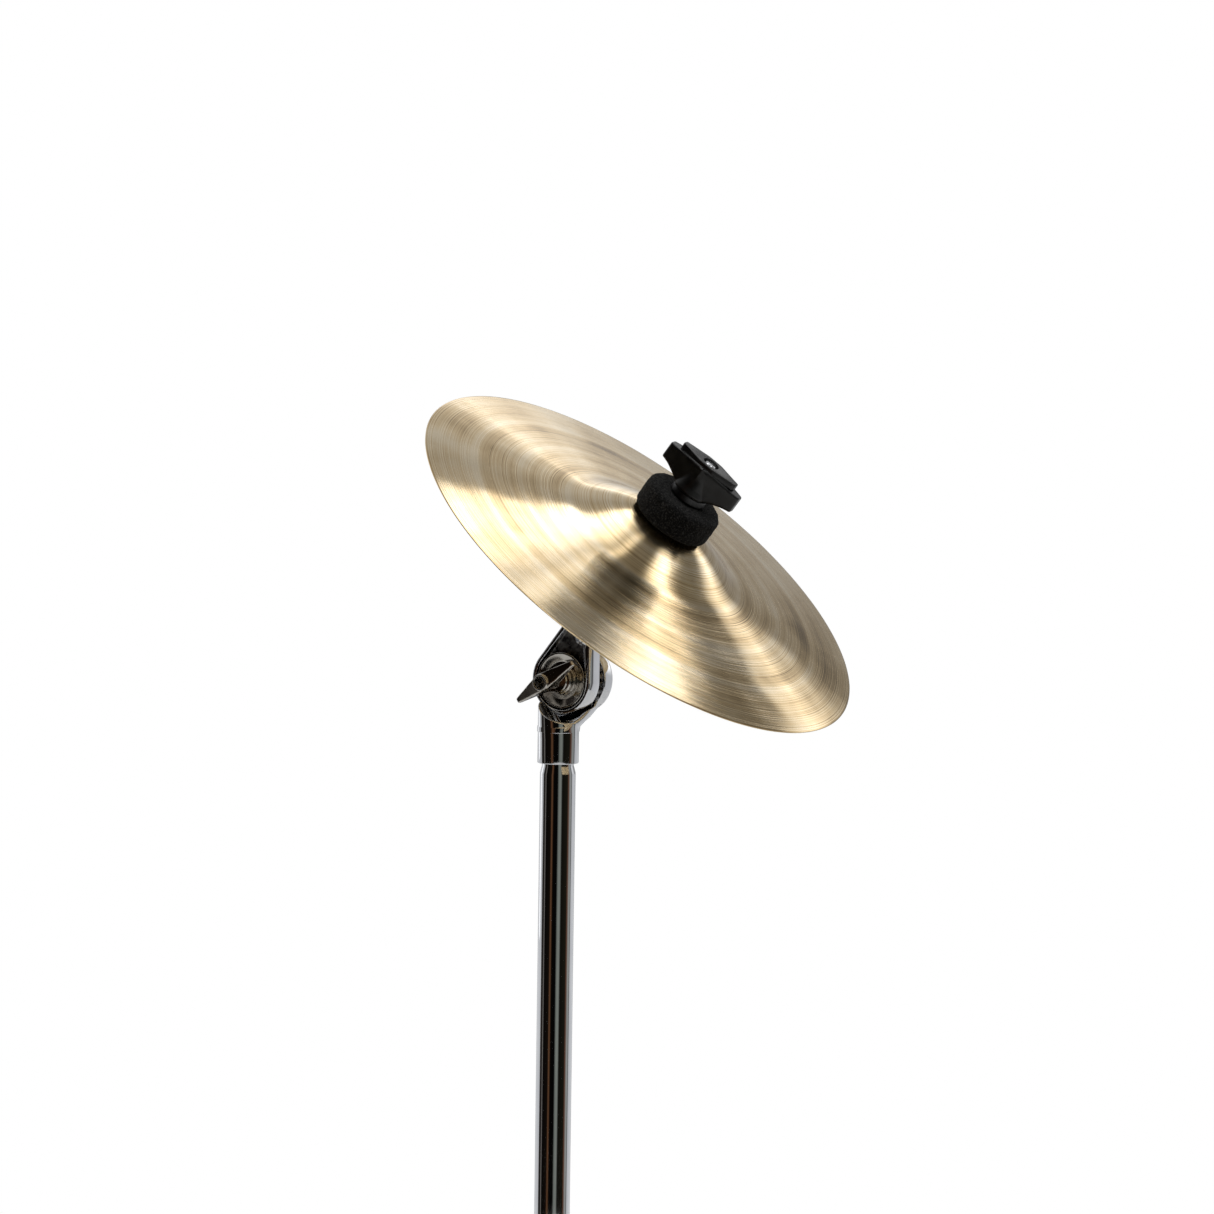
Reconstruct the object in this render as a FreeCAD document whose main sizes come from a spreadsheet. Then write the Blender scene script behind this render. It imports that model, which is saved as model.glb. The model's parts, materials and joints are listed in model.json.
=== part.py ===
import FreeCAD, Part
import math
import os
import re
import Sketcher
from FreeCAD import Vector

# Cymbal boom stand in millimetres, +Z up, floor at Z = 0.
# The three legs stand at 0, 120 and 240 degrees. The origin is the middle of their footprint, so the
# stand's own axis is a quarter of the feet's reach towards -X. The upright boom arm is in front of that
# axis (towards -Y), and the cymbal leans towards +X about hinges that lie along Y.

# ---- driving dimensions (mm, degrees)
SIZES = {
    # tubes
    "tube_wall": 1.2,
    "base_tube_radius": 12.7,
    "base_tube_length": 500,
    "base_tube_bottom": 56,
    "middle_tube_radius": 11.1,
    "middle_tube_length": 430,
    "middle_tube_insert": 230,
    "boom_tube_radius": 9.1,
    "boom_tube_length": 460,
    "boom_tube_below": 150,
    "boom_offset": 30,
    "swage_radius": 7.9,
    "swage_length": 4.5,
    "swage_depth": 20,
    # fits
    "running_fit": 0.05,
    "sliding_gap": 0.3,
    "past": 1,
    "edge_break": 0.4,
    "chamfer": 1.5,
    # tripod
    "leg_reach": 284,
    "leg_width": 12,
    "strip_thickness": 2,
    "strip_gap": 6,
    "leg_hinge_radius": 24,
    "leg_hinge_height": 300,
    "foot_joint_height": 10,
    "foot_radius": 13,
    "foot_height": 14,
    "foot_taper": 2,
    "boot_length": 38,
    "boot_wall": 2,
    "brace_hinge_radius": 23,
    "brace_hinge_height": 75,
    "brace_joint": 218,
    "brace_width": 11,
    "brace_thickness": 4,
    "pin_radius": 2.5,
    "pin_head_ratio": 1.7,
    "pin_head_height": 1.5,
    "rivet_spacer": 100,
    "spacer_wall": 1.3,
    "fork_thickness": 3,
    "collar_wall": 4.3,
    "leg_collar_height": 38,
    "leg_collar_below": 12,
    "leg_boss_rise": 7,
    "leg_boss_drop": 14,
    "bottom_collar_height": 26,
    "plug_depth": 15,
    "plug_flange": 4,
    # bolts, bosses and wings
    "bolt_radius": 3,
    "boss_ratio": 2.3,
    "wing_span": 18,
    "wing_hub_height": 14,
    "wing_front": 17,
    "wing_tip_front": 16,
    "wing_tip_back": 9.5,
    "wing_root_back": 4,
    "wing_hub_ratio": 2.2,
    "wing_thickness_ratio": 1.5,
    "wing_taper": 0.3,
    # die-cast wing nuts, measured back from their front
    "nut_rim": 3,
    "nut_rim_stand": 0.6,
    "nut_tip_front": 4.2,
    "nut_tip_back": 6.6,
    "nut_root_back": 10.7,
    # height clamp and memory lock
    "clamp_radius": 17.5,
    "clamp_height": 46,
    "clamp_overlap": 28,
    "clamp_boss_rise": 9,
    "clamp_chamfer": 2,
    "bushing_wall": 2.4,
    "lock_height": 16,
    "lock_radius": 16.5,
    "lock_ear_reach": 10,
    "lock_ear_half_width": 6,
    "lock_slit": 1.6,
    "lock_key": 5,
    # boom tilter
    "boom_pivot_rise": 34,
    "ratchet_radius": 19,
    "ratchet_thickness": 9,
    "tooth_height": 1.6,
    "tooth_count": 24,
    "tooth_width": 1.5,
    "barrel_radius": 15,
    "barrel_height": 40,
    "barrel_boss_rise": 7,
    "barrel_bushing_wall": 2,
    "boom_socket_wall": 4,
    "boom_socket_depth": 26,
    "boom_socket_cap": 6,
    "bolt_head_height": 3,
    "boom_nut_front": 21,
    "boom_nut_spread": 2,
    # cymbal tilter
    "cymbal_tilt": 39.4,
    "socket_radius": 10.5,
    "socket_bottom": 42.1,
    "socket_top": 6,
    "web_foot": 20,
    "web_rise": 12,
    "hub_radius": 17.5,
    "hub_front": 1.2,
    "hub_thickness": 10,
    "hub_gap": 4.8,
    "disc_thickness": 8,
    "saddle_clearance": 0.9,
    "arm_length": 33,
    "arm_rim": 2.4,
    "recess_depth": 3,
    "rod_offset": 5.8,
    "rod_boss_radius": 7.5,
    "rod_boss_length": 9,
    "rod_boss_tip": 3,
    "rod_boss_root": 7,
    "recess_end": 8.5,
    "tooth_ring_inset": 1.5,
    "tooth_ring_width": 5,
    "tilter_washer_radius": 14.3,
    "washer_rim_width": 5,
    "washer_thickness": 1.2,
    "washer_dish": 1.5,
    "tilter_nut_span": 19.4,
    "tilter_nut_front": 19.2,
    "tilter_nut_turn": -32.8,
    "tilter_bolt_reach": 15,
    # rod and what is on it
    "rod_radius": 4,
    "rod_seat": 20,
    "rod_end": 137.8,
    "sleeve_radius": 5.4,
    "cymbal_radius": 127,
    "cymbal_height": 26.2,
    "cymbal_thickness": 0.9,
    "cymbal_hole_radius": 6,
    "cymbal_edge": 77.7,
    "bow_height": 14,
    "bell_curve": 73,
    "bell_blend": 1.6,
    "felt_radius": 20,
    "felt_round": 2.5,
    "upper_felt_thickness": 16,
    "lower_felt_thickness": 10,
    "cup_radius": 15,
    "cup_thickness": 1.5,
    "cup_hub_wall": 3,
    "cup_hub_height": 3,
    "cymbal_stations": 24,
    # moulded wing nut
    "nut_height": 22.4,
    "nut_span": 22.3,
    "nut_turn": -9.4,
    "nut_collar_radius": 9.4,
    "nut_collar_bead": 0.6,
    "nut_collar_height": 8,
    "nut_flange_radius": 13,
    "nut_flange_height": 9.6,
    "nut_body_radius": 8,
    "nut_body_height": 15,
    "nut_wing_thickness": 8.2,
    "nut_wing_drop": 2,
    "nut_wing_tip_back": 10.6,
    "nut_wing_root_back": 13.5,
    "nut_plate_span": 17,
    "nut_plate_half_width": 7,
    "nut_plate_tip": 2,
    "nut_plate_thickness": 3,
}

# Sizes that follow from the driving ones.
DERIVED = {
    "axis_x": "-(leg_reach + foot_radius) / 4",
    "base_tube_top": "base_tube_bottom + base_tube_length",
    "middle_tube_bottom": "base_tube_top - middle_tube_insert",
    "middle_tube_top": "middle_tube_bottom + middle_tube_length",
    "clamp_bottom": "base_tube_top - clamp_overlap",
    "clamp_top": "clamp_bottom + clamp_height",
    "bushing_radius": "middle_tube_radius + running_fit + bushing_wall",
    "lock_bottom": "clamp_top + sliding_gap",
    "boom_pivot": "middle_tube_top + boom_pivot_rise",
    "boom_bottom": "boom_pivot - boom_tube_below",
    "boom_shoulder": "boom_bottom + boom_tube_length",
    "barrel_bushing_radius": "boom_tube_radius + running_fit + barrel_bushing_wall",
    "ratchet_face": "barrel_bushing_radius + 3 - boom_offset",
    "cymbal_pivot": "boom_shoulder + 0.5 + socket_bottom",
    "leg_run": "leg_reach - leg_hinge_radius",
    "leg_drop": "leg_hinge_height - foot_joint_height",
    "leg_length": "sqrt(leg_run ^ 2 + leg_drop ^ 2)",
    "leg_angle": "atan2(leg_run; leg_drop)",
    "brace_run": "leg_hinge_radius - brace_hinge_radius + brace_joint * leg_run / leg_length",
    "brace_rise": "leg_hinge_height - brace_hinge_height - brace_joint * leg_drop / leg_length",
    "brace_length": "sqrt(brace_run ^ 2 + brace_rise ^ 2)",
    "brace_angle": "atan2(brace_run; brace_rise)",
    "strip_inner": "strip_gap / 2",
    "strip_outer": "strip_gap / 2 + strip_thickness",
    "hub_back": "hub_front + hub_thickness",
    "disc_front": "hub_back + hub_gap",
    "disc_back": "disc_front + disc_thickness",
    "rim_foot": "tilter_washer_radius - washer_rim_width",
    "tooth_ring_outer": "hub_radius - tooth_ring_inset",
    "tooth_ring_inner": "tooth_ring_outer - tooth_ring_width",
    "boom_ring_outer": "ratchet_radius - past",
    "boom_ring_inner": "ratchet_radius - 7 * past",
    "leg_boss_end": "base_tube_radius + collar_wall + leg_boss_rise",
    "leg_boss_height": "leg_hinge_height - leg_collar_below + leg_collar_height - leg_boss_drop",
    "clamp_boss_end": "clamp_radius + clamp_boss_rise",
    "barrel_boss_end": "boom_offset + barrel_radius + barrel_boss_rise",
    "arm_mid": "hub_front + hub_thickness / 2",
    "bell_top": "cymbal_edge + cymbal_height",
    "felt_bottom": "bell_top - (felt_radius - felt_round) ^ 2 / (2 * bell_curve)",
    "nut_bottom": "felt_bottom + upper_felt_thickness",
    "nut_top": "nut_bottom + nut_height",
    "lower_felt_radius": "felt_radius - 3",
    "lower_felt_top": "bell_top - cymbal_thickness - sliding_gap - lower_felt_radius ^ 2 / (2 * bell_curve)",
    "lower_felt_bottom": "lower_felt_top - lower_felt_thickness",
    "cup_bottom": "lower_felt_bottom - cup_thickness",
}

doc = FreeCAD.newDocument("cymbal_boom_stand")
sheet = doc.addObject("Spreadsheet::Sheet", "Dims")
for row, (alias, number) in enumerate(SIZES.items(), 1):
    sheet.set(f"A{row}", alias)
    sheet.set(f"B{row}", str(number))
    sheet.setAlias(f"B{row}", alias)
doc.recompute()

SUBPARTS = []
WORD = re.compile(r"[a-z_][a-z0-9_]*")
AXES = {"X": "vector(1; 0; 0)", "Y": "vector(0; 1; 0)", "Z": "vector(0; 0; 1)"}
PLANES = {"XY": "XY_Plane", "XZ": "XZ_Plane", "YZ": "YZ_Plane"}
ALONG = {"X": ("Y", "90"), "Y": ("X", "-90"), "Z": ("Z", "0")}


# ---- expressions
def bound(text):
    """Turn the names of sizes in an expression into references to the sheet."""
    def refer(word):
        name = word.group()
        if name in DERIVED:
            return "(" + bound(DERIVED[name]) + ")"
        return "Dims." + name if name in SIZES else name
    return WORD.sub(refer, str(text))


def value(text):
    """The number that an expression has now."""
    return float(sheet.evalExpression(bound(text)))


def bind(obj, **sizes):
    """Bind properties of an object to expressions."""
    for name, text in sizes.items():
        obj.setExpression(name, bound(text))


def step(x="0", y="0", z="0", axis="Z", angle="0"):
    """One move of a placement: a turn about an axis, then a shift."""
    vector = f"vector({bound(x)}; {bound(y)}; {bound(z)})"
    return f"placement({vector}; rotation({AXES[axis]}; {bound(angle)}))"


def place(obj, *steps):
    """Give an object the placement that a chain of steps makes, outermost first."""
    obj.setExpression("Placement", " * ".join(steps))
    return obj


def subpart(label, obj, *steps):
    """Name a finished piece, put it in its place and list it for export."""
    obj.Label = label
    if steps:
        place(obj, *steps)
    SUBPARTS.append(obj)
    return obj


# ---- building blocks
def block(name, x, y, z):
    """A box between low and high expressions along each axis."""
    obj = doc.addObject("Part::Box", name)
    lengths = [f"({high}) - ({low})" for low, high in (x, y, z)]
    bind(obj, Length=lengths[0], Width=lengths[1], Height=lengths[2])
    return place(obj, step(x[0], y[0], z[0]))


def cylinder(name, axis, radius, low, high, at=("0", "0")):
    """A cylinder along an axis, from low to high, at two cross coordinates in X, Y, Z order."""
    obj = doc.addObject("Part::Cylinder", name)
    bind(obj, Radius=radius, Height=f"({high}) - ({low})")
    corner = list(at)
    corner.insert("XYZ".index(axis), low)
    return place(obj, step(*corner, *ALONG[axis]))


def cone(name, axis, low_radius, high_radius, low, high, at=("0", "0")):
    """A cone along an axis, from low to high."""
    obj = doc.addObject("Part::Cone", name)
    bind(obj, Radius1=low_radius, Radius2=high_radius, Height=f"({high}) - ({low})")
    corner = list(at)
    corner.insert("XYZ".index(axis), low)
    return place(obj, step(*corner, *ALONG[axis]))


def fuse(name, *shapes):
    """One solid from several."""
    obj = doc.addObject("Part::MultiFuse", name)
    obj.Shapes = list(shapes)
    obj.Refine = True
    return obj


def group(name, *shapes):
    """Several separate solids in one piece."""
    obj = doc.addObject("Part::Compound", name)
    obj.Links = list(shapes)
    return obj


def cut(name, base, *tools):
    """A solid with others taken away."""
    obj = doc.addObject("Part::Cut", name)
    obj.Base = base
    obj.Tool = tools[0] if len(tools) == 1 else fuse(name + "_tools", *tools)
    obj.Refine = True
    return obj


def common(name, first, second):
    """What two solids share."""
    obj = doc.addObject("Part::MultiCommon", name)
    obj.Shapes = [first, second]
    return obj


def outline(body, plane, points):
    """A closed sketch of straight lines on an origin plane of its body, each corner bound."""
    sketch = body.newObject("Sketcher::SketchObject", body.Name + "_sketch")
    role = PLANES[plane]
    origin_plane = [item for item in body.Origin.OriginFeatures if item.Role == role][0]
    sketch.AttachmentSupport = (origin_plane, [""])
    sketch.MapMode = "FlatFace"
    corners = [Vector(value(across), value(up), 0) for across, up in points]
    for number, corner in enumerate(corners):
        following = corners[(number + 1) % len(corners)]
        sketch.addGeometry(Part.LineSegment(corner, following), False)
    for number in range(len(corners)):
        following = (number + 1) % len(corners)
        sketch.addConstraint(Sketcher.Constraint("Coincident", number, 2, following, 1))
    for number, (across, up) in enumerate(points):
        for kind, text, size in (("DistanceX", across, corners[number].x),
                                 ("DistanceY", up, corners[number].y)):
            index = sketch.addConstraint(Sketcher.Constraint(kind, -1, 1, number, 1, size))
            sketch.setExpression(f"Constraints[{index}]", bound(text))
    return sketch


def turned(name, profile):
    """A body turned about Z from a profile of (radius, height) corners."""
    body = doc.addObject("PartDesign::Body", name)
    sketch = outline(body, "XZ", profile)
    turn = body.newObject("PartDesign::Revolution", name + "_turn")
    turn.Profile = sketch
    turn.ReferenceAxis = (sketch, ["V_Axis"])
    turn.Angle = 360
    return body


def plate(name, plane, points, low, high):
    """A body pushed from an outline, between low and high along the plane's normal axis."""
    body = doc.addObject("PartDesign::Body", name)
    sketch = outline(body, plane, points)
    pad = body.newObject("PartDesign::Pad", name + "_pad")
    pad.Profile = sketch
    pad.Reversed = plane == "XZ"
    bind(pad, Length=f"({high}) - ({low})")
    shift = {"XY": ("0", "0", low), "XZ": ("0", low, "0"), "YZ": (low, "0", "0")}[plane]
    return place(body, step(*shift))


def pipe(name, outer, inner, low, high):
    """A plain tube about Z."""
    return turned(name, [(inner, low), (outer, low), (outer, high), (inner, high)])


def headed_pin(name, radius, half_length, head_radius, head_height, at):
    """A pin along Y with a head on each end, centred at (x, z)."""
    shank = cylinder(name + "_shank", "Y", radius, f"-({half_length})", half_length, at)
    far_head = cone(name + "_far", "Y", head_radius, f"{head_radius} * 0.6",
                    half_length, f"{half_length} + {head_height}", at)
    near_head = cone(name + "_near", "Y", f"{head_radius} * 0.6", head_radius,
                     f"-({half_length}) - ({head_height})", f"-({half_length})", at)
    return fuse(name, shank, far_head, near_head)


def teeth(name, low, high, inner, outer):
    """A ring of radial ratchet teeth about Y."""
    root = cut(name + "_ring", cylinder(name + "_outer", "Y", outer, low, high),
               cylinder(name + "_inner", "Y", inner, f"{low} - past", f"{high} + past"))
    gaps = []
    for number in range(int(value("tooth_count"))):
        gap = doc.addObject("Part::Box", f"{name}_gap_{number}")
        bind(gap, Length="tooth_width", Width="tooth_height / 2 + past",
             Height=f"{outer} - ({inner}) + 2 * past")
        turn = step("0", "0", "0", "Y", f"360 * {number} / tooth_count")
        place(gap, turn, step("-tooth_width / 2", notch_start(name, low, high), f"{inner} - past"))
        gaps.append(gap)
    return cut(name, root, *gaps)


def notch_start(name, low, high):
    """Where the notches of a tooth ring start along Y: in the face that looks at the other ring."""
    return f"({high}) - tooth_height / 2" if name.startswith("front") else f"({low}) - past"


def wing(name, span, thick, front, tip_front, tip_back, root_back):
    """The two wings of a wing nut about Z: a flat diamond seen from the front, swept back at the sides."""
    tip = f"{thick} * wing_taper"
    plan = plate(name + "_plan", "XY", [
        (f"-({span})", f"-({tip})"), ("0", f"-({thick})"), (span, f"-({tip})"),
        (span, tip), ("0", thick), (f"-({span})", tip)], root_back, front)
    side = plate(name + "_side", "XZ", [
        (f"-({span})", tip_back), (f"-({thick})", root_back), (thick, root_back), (span, tip_back),
        (span, tip_front), (f"{thick} * 0.8", front), (f"-({thick}) * 0.8", front),
        (f"-({span})", tip_front)], f"-({thick}) - past", f"{thick} + past")
    return common(name, plan, side)


def wing_bolt(label, shank_length, span, *steps):
    """A wing bolt about Z: its head stands on Z = 0 and its shank goes down into the piece."""
    shank = cylinder(label + "_shank", "Z", "bolt_radius", f"-({shank_length})", "wing_hub_height / 2")
    hub = cone(label + "_hub", "Z", "bolt_radius * wing_hub_ratio", "bolt_radius * wing_thickness_ratio",
               "sliding_gap", "wing_hub_height")
    wings = wing(label + "_wings", span, "bolt_radius * wing_thickness_ratio", "wing_front", "wing_tip_front",
                 "wing_tip_back", "wing_root_back")
    return subpart(label, fuse(label + "_body", shank, hub, wings), *steps)


def wing_nut(label, hole, seat, span, front, *steps):
    """A die-cast wing nut about Z: a conical hub on the seat, wings to the front and a hole right through."""
    thick = f"({hole}) * wing_thickness_ratio"
    hub = cone(label + "_hub", "Z", f"({hole}) * boss_ratio", f"{thick} * 0.96", seat, f"{front} - nut_rim")
    rim = cylinder(label + "_rim", "Z", f"{thick} * 0.9", f"{front} - nut_rim - past", front)
    wings = wing(label + "_wings", span, thick, f"{front} - nut_rim_stand", f"{front} - nut_tip_front",
                 f"{front} - nut_tip_back", f"{front} - nut_root_back")
    bore = cylinder(label + "_bore", "Z", hole, f"{seat} - past", f"{front} + past")
    return subpart(label, cut(label + "_body", fuse(label + "_solid", hub, rim, wings), bore), *steps)


STAND = step("axis_x")
BOOM = step("axis_x", "-boom_offset")
PIVOT = step("axis_x", "-boom_offset", "cymbal_pivot")
ROD = (PIVOT, step("0", "0", "0", "Y", "cymbal_tilt"), step("-rod_offset", "arm_mid"))
FRONTWARD = step("0", "0", "0", "X", "90")
BACKWARD = step("0", "0", "0", "X", "-90")


def heading(number):
    """The placement that turns a piece in the XZ plane to the direction of one leg."""
    return step("axis_x", "0", "0", "Z", f"{number - 1} * 120")


# ---- tripod
def base_tube():
    inner = "base_tube_radius - tube_wall"
    subpart("base_tube", pipe("base_tube_body", "base_tube_radius", inner, "base_tube_bottom",
                              "base_tube_top"),
            STAND)
    low, high = "base_tube_bottom - plug_flange", "base_tube_bottom + plug_depth"
    subpart("base_tube_plug", turned("plug_body", [
        ("0", low), ("base_tube_radius - chamfer", low), ("base_tube_radius", f"{low} + chamfer"),
        ("base_tube_radius", "base_tube_bottom"), (inner, "base_tube_bottom"), (inner, high), ("0", high)]),
        STAND)


def collar(name, inner, low, high):
    """A die-cast ring about Z with chamfered ends."""
    outer = "base_tube_radius + collar_wall"
    return turned(name, [(inner, low), (f"{outer} - chamfer", low), (outer, f"{low} + chamfer"),
                         (outer, f"{high} - chamfer"), (f"{outer} - chamfer", high), (inner, high)])


def bottom_collar():
    """The fixed ring that the braces hinge on, with a fork for each brace."""
    low = "brace_hinge_height - bottom_collar_height / 2"
    high = "brace_hinge_height + bottom_collar_height / 2"
    ears, holes, pins = [collar("bottom_ring", "base_tube_radius", low, high)], [], []
    gap = "brace_thickness / 2 + sliding_gap"
    half = "brace_width / 2"
    for number in (1, 2, 3):
        around = step("0", "0", "0", "Z", f"{number - 1} * 120")
        outside = f"{gap} + fork_thickness"
        for side, (near, far) in (("left", (gap, outside)), ("right", (f"-({outside})", f"-({gap})"))):
            ear = block(f"fork_{side}_{number}_block", ("base_tube_radius + past", "brace_hinge_radius"),
                        (near, far),
                        (f"brace_hinge_height - {half}", f"brace_hinge_height + {half}"))
            end = cylinder(f"fork_{side}_{number}_end", "Y", half, near, far,
                           ("brace_hinge_radius", "brace_hinge_height"))
            ears.append(place(fuse(f"fork_{side}_{number}", ear, end), around))
        at = ("brace_hinge_radius", "brace_hinge_height")
        hole = cylinder(f"fork_hole_{number}", "Y", "pin_radius", f"-({outside} + past)", f"{outside} + past")
        place(hole, around, step(at[0], f"-({outside} + past)", at[1], *ALONG["Y"]))
        holes.append(hole)
        pin = headed_pin(f"brace_pin_{number}", "pin_radius", outside, "pin_radius * pin_head_ratio",
                         "pin_head_height", at)
        pins.append(place(pin, around))
    subpart("bottom_collar", cut("bottom_collar_body", fuse("bottom_collar_solid", *ears), *holes), STAND)
    subpart("brace_pins", group("brace_pins_group", *pins), STAND)


def leg_collar():
    """The sliding ring that the legs hinge on, with a lug for each leg and a boss for the wing bolt."""
    low = "leg_hinge_height - leg_collar_below"
    high = f"{low} + leg_collar_height"
    inner = "base_tube_radius + running_fit"
    pieces, holes, pins = [collar("leg_ring", inner, low, high)], [], []
    thick = "strip_inner - sliding_gap"
    half = "leg_width / 2 - chamfer / 3"
    at = ("leg_hinge_radius", "leg_hinge_height")
    for number in (1, 2, 3):
        around = step("0", "0", "0", "Z", f"{number - 1} * 120")
        lug = block(f"lug_{number}_block", ("base_tube_radius + past", "leg_hinge_radius"),
                    (f"-({thick})", thick),
                    (f"leg_hinge_height - ({half})", f"leg_hinge_height + {half}"))
        end = cylinder(f"lug_{number}_end", "Y", half, f"-({thick})", thick, at)
        pieces.append(place(fuse(f"lug_{number}", lug, end), around))
        hole = cylinder(f"lug_hole_{number}", "Y", "pin_radius", "-strip_gap", "strip_gap")
        place(hole, around, step(at[0], "-strip_gap", at[1], *ALONG["Y"]))
        holes.append(hole)
        pin = headed_pin(f"leg_pin_{number}", "pin_radius", "strip_outer + sliding_gap",
                         "pin_radius * pin_head_ratio", "pin_head_height", at)
        pins.append(place(pin, around))
    boss = cylinder("leg_boss", "X", "bolt_radius * boss_ratio", "-leg_boss_end",
                    "-base_tube_radius - chamfer",
                    ("0", "leg_boss_height"))
    pieces.append(boss)
    holes.append(cylinder("leg_boss_hole", "X", "bolt_radius + running_fit", "-leg_boss_end - past",
                          "-base_tube_radius + 2 * past", ("0", "leg_boss_height")))
    subpart("leg_collar", cut("leg_collar_body", fuse("leg_collar_solid", *pieces), *holes), STAND)
    subpart("leg_pins", group("leg_pins_group", *pins), STAND)
    wing_bolt("leg_collar_wing_bolt", "collar_wall + leg_boss_rise - sliding_gap", "wing_span", STAND,
              step("-leg_boss_end", "0", "leg_boss_height", "Y", "-90"))


def strip(name, near, far):
    """One flat steel strip of a leg, from its hinge at the origin down along -Z."""
    half = "leg_width / 2"
    flat = block(name + "_flat", (f"-{half}", half), (near, far), ("-leg_length", "0"))
    top = cylinder(name + "_top", "Y", half, near, far)
    foot_end = cylinder(name + "_foot_end", "Y", half, near, far, ("0", "-leg_length"))
    low, high = f"{near} - past", f"{far} + past"
    holes = [cylinder(name + "_hinge_hole", "Y", "pin_radius + running_fit", low, high)]
    for number, down in enumerate(("rivet_spacer", "brace_joint")):
        holes.append(cylinder(f"{name}_rivet_hole_{number}", "Y", "pin_radius", low, high, ("0", f"-{down}")))
    return cut(name, fuse(name + "_solid", flat, top, foot_end), *holes)


def leg(number):
    """A leg of two strips, its rivets and its rubber foot."""
    tilt = step("leg_hinge_radius", "0", "leg_hinge_height", "Y", "-leg_angle")
    strips = [strip(f"leg_{number}_left", "strip_inner", "strip_outer"),
              strip(f"leg_{number}_right", "-strip_outer", "-strip_inner")]
    subpart(f"leg_{number}", group(f"leg_{number}_pair", *strips), heading(number), tilt)
    head_radius, head_height = "pin_radius * pin_head_ratio", "pin_head_height"
    spacer = headed_pin(f"leg_{number}_spacer", "pin_radius", "strip_outer", head_radius, head_height,
                        ("0", "-rivet_spacer"))
    tube = cut(f"leg_{number}_spacer_tube",
               cylinder(f"leg_{number}_spacer_outer", "Y", "pin_radius + spacer_wall", "-strip_inner",
                        "strip_inner", ("0", "-rivet_spacer")),
               cylinder(f"leg_{number}_spacer_inner", "Y", "pin_radius - edge_break / 2", "-strip_outer",
                        "strip_outer", ("0", "-rivet_spacer")))
    stubs = []
    for side, sign in (("left", 1), ("right", -1)):
        ends = sorted((f"{sign} * strip_inner", f"{sign} * strip_outer"), key=value)
        shank = cylinder(f"leg_{number}_{side}_stub", "Y", "pin_radius", *ends, ("0", "-brace_joint"))
        head_ends = sorted((f"{sign} * strip_outer", f"{sign} * (strip_outer + {head_height})"), key=value)
        radii = (head_radius, "pin_radius") if sign > 0 else ("pin_radius", head_radius)
        head = cone(f"leg_{number}_{side}_head", "Y", *radii, *head_ends, ("0", "-brace_joint"))
        stubs.append(fuse(f"leg_{number}_{side}_rivet", shank, head))
    spacer_rivet = fuse(f"leg_{number}_spacer_rivet", spacer, tube)
    subpart(f"leg_rivets_{number}", group(f"leg_{number}_rivets", spacer_rivet, *stubs), heading(number),
            tilt)
    foot(number, strips)


def foot(number, strips):
    """A rubber foot: a round pad flat on the floor with a boot round the ends of the strips."""
    name = f"foot_{number}"
    pad = turned(name + "_pad", [
        ("0", "0"), ("foot_radius - past", "0"), ("foot_radius", "chamfer"),
        ("foot_radius - foot_taper", "foot_height"), ("0", "foot_height")])
    place(pad, step("leg_reach"))
    boot_half, boot_side = "leg_width / 2 + boot_wall", "strip_outer + boot_wall"
    boot = block(name + "_boot", (f"-({boot_half})", boot_half), (f"-({boot_side})", boot_side),
                 ("-leg_length", "-leg_length + boot_length"))
    tilt = step("leg_hinge_radius", "0", "leg_hinge_height", "Y", "-leg_angle")
    place(boot, tilt, step(f"-({boot_half})", f"-({boot_side})", "-leg_length"))
    half = "leg_width / 2"
    slots = []
    for side, sign in (("left", 1), ("right", -1)):
        low, high = sorted((f"{sign} * strip_inner", f"{sign} * strip_outer"), key=value)
        slot = block(f"{name}_{side}_slot", ("0", "leg_width"), (low, high),
                     ("0", "boot_length + foot_height"))
        place(slot, tilt, step(f"-{half}", low, "-leg_length"))
        end = cylinder(f"{name}_{side}_slot_end", "Y", half, low, high)
        place(end, tilt, step("0", low, "-leg_length", "X", "-90"))
        slots += [slot, end]
    below = block(name + "_below_floor", ("leg_reach - boot_length", "leg_reach + boot_length"),
                  ("-boot_length", "boot_length"), ("-boot_length", "0"))
    subpart(name, cut(name + "_body", fuse(name + "_solid", pad, boot), below, *slots), heading(number))


def brace(number):
    """A flat bar from the bottom collar's fork up to the leg, between the leg's two strips."""
    name = f"brace_{number}"
    half = "brace_width / 2"
    near, far = "-brace_thickness / 2", "brace_thickness / 2"
    flat = block(name + "_flat", (f"-{half}", half), (near, far), ("0", "brace_length"))
    low_end = cylinder(name + "_low_end", "Y", half, near, far)
    high_end = cylinder(name + "_high_end", "Y", half, near, far, ("0", "brace_length"))
    hole_ends = ("-brace_thickness", "brace_thickness")
    low_hole = cylinder(name + "_low_hole", "Y", "pin_radius + running_fit", *hole_ends)
    high_hole = cylinder(name + "_high_hole", "Y", "pin_radius + running_fit", *hole_ends,
                         ("0", "brace_length"))
    bar = cut(name + "_body", fuse(name + "_solid", flat, low_end, high_end), low_hole, high_hole)
    subpart(name, bar, heading(number), step("brace_hinge_radius", "0", "brace_hinge_height", "Y",
                                             "brace_angle"))


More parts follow.
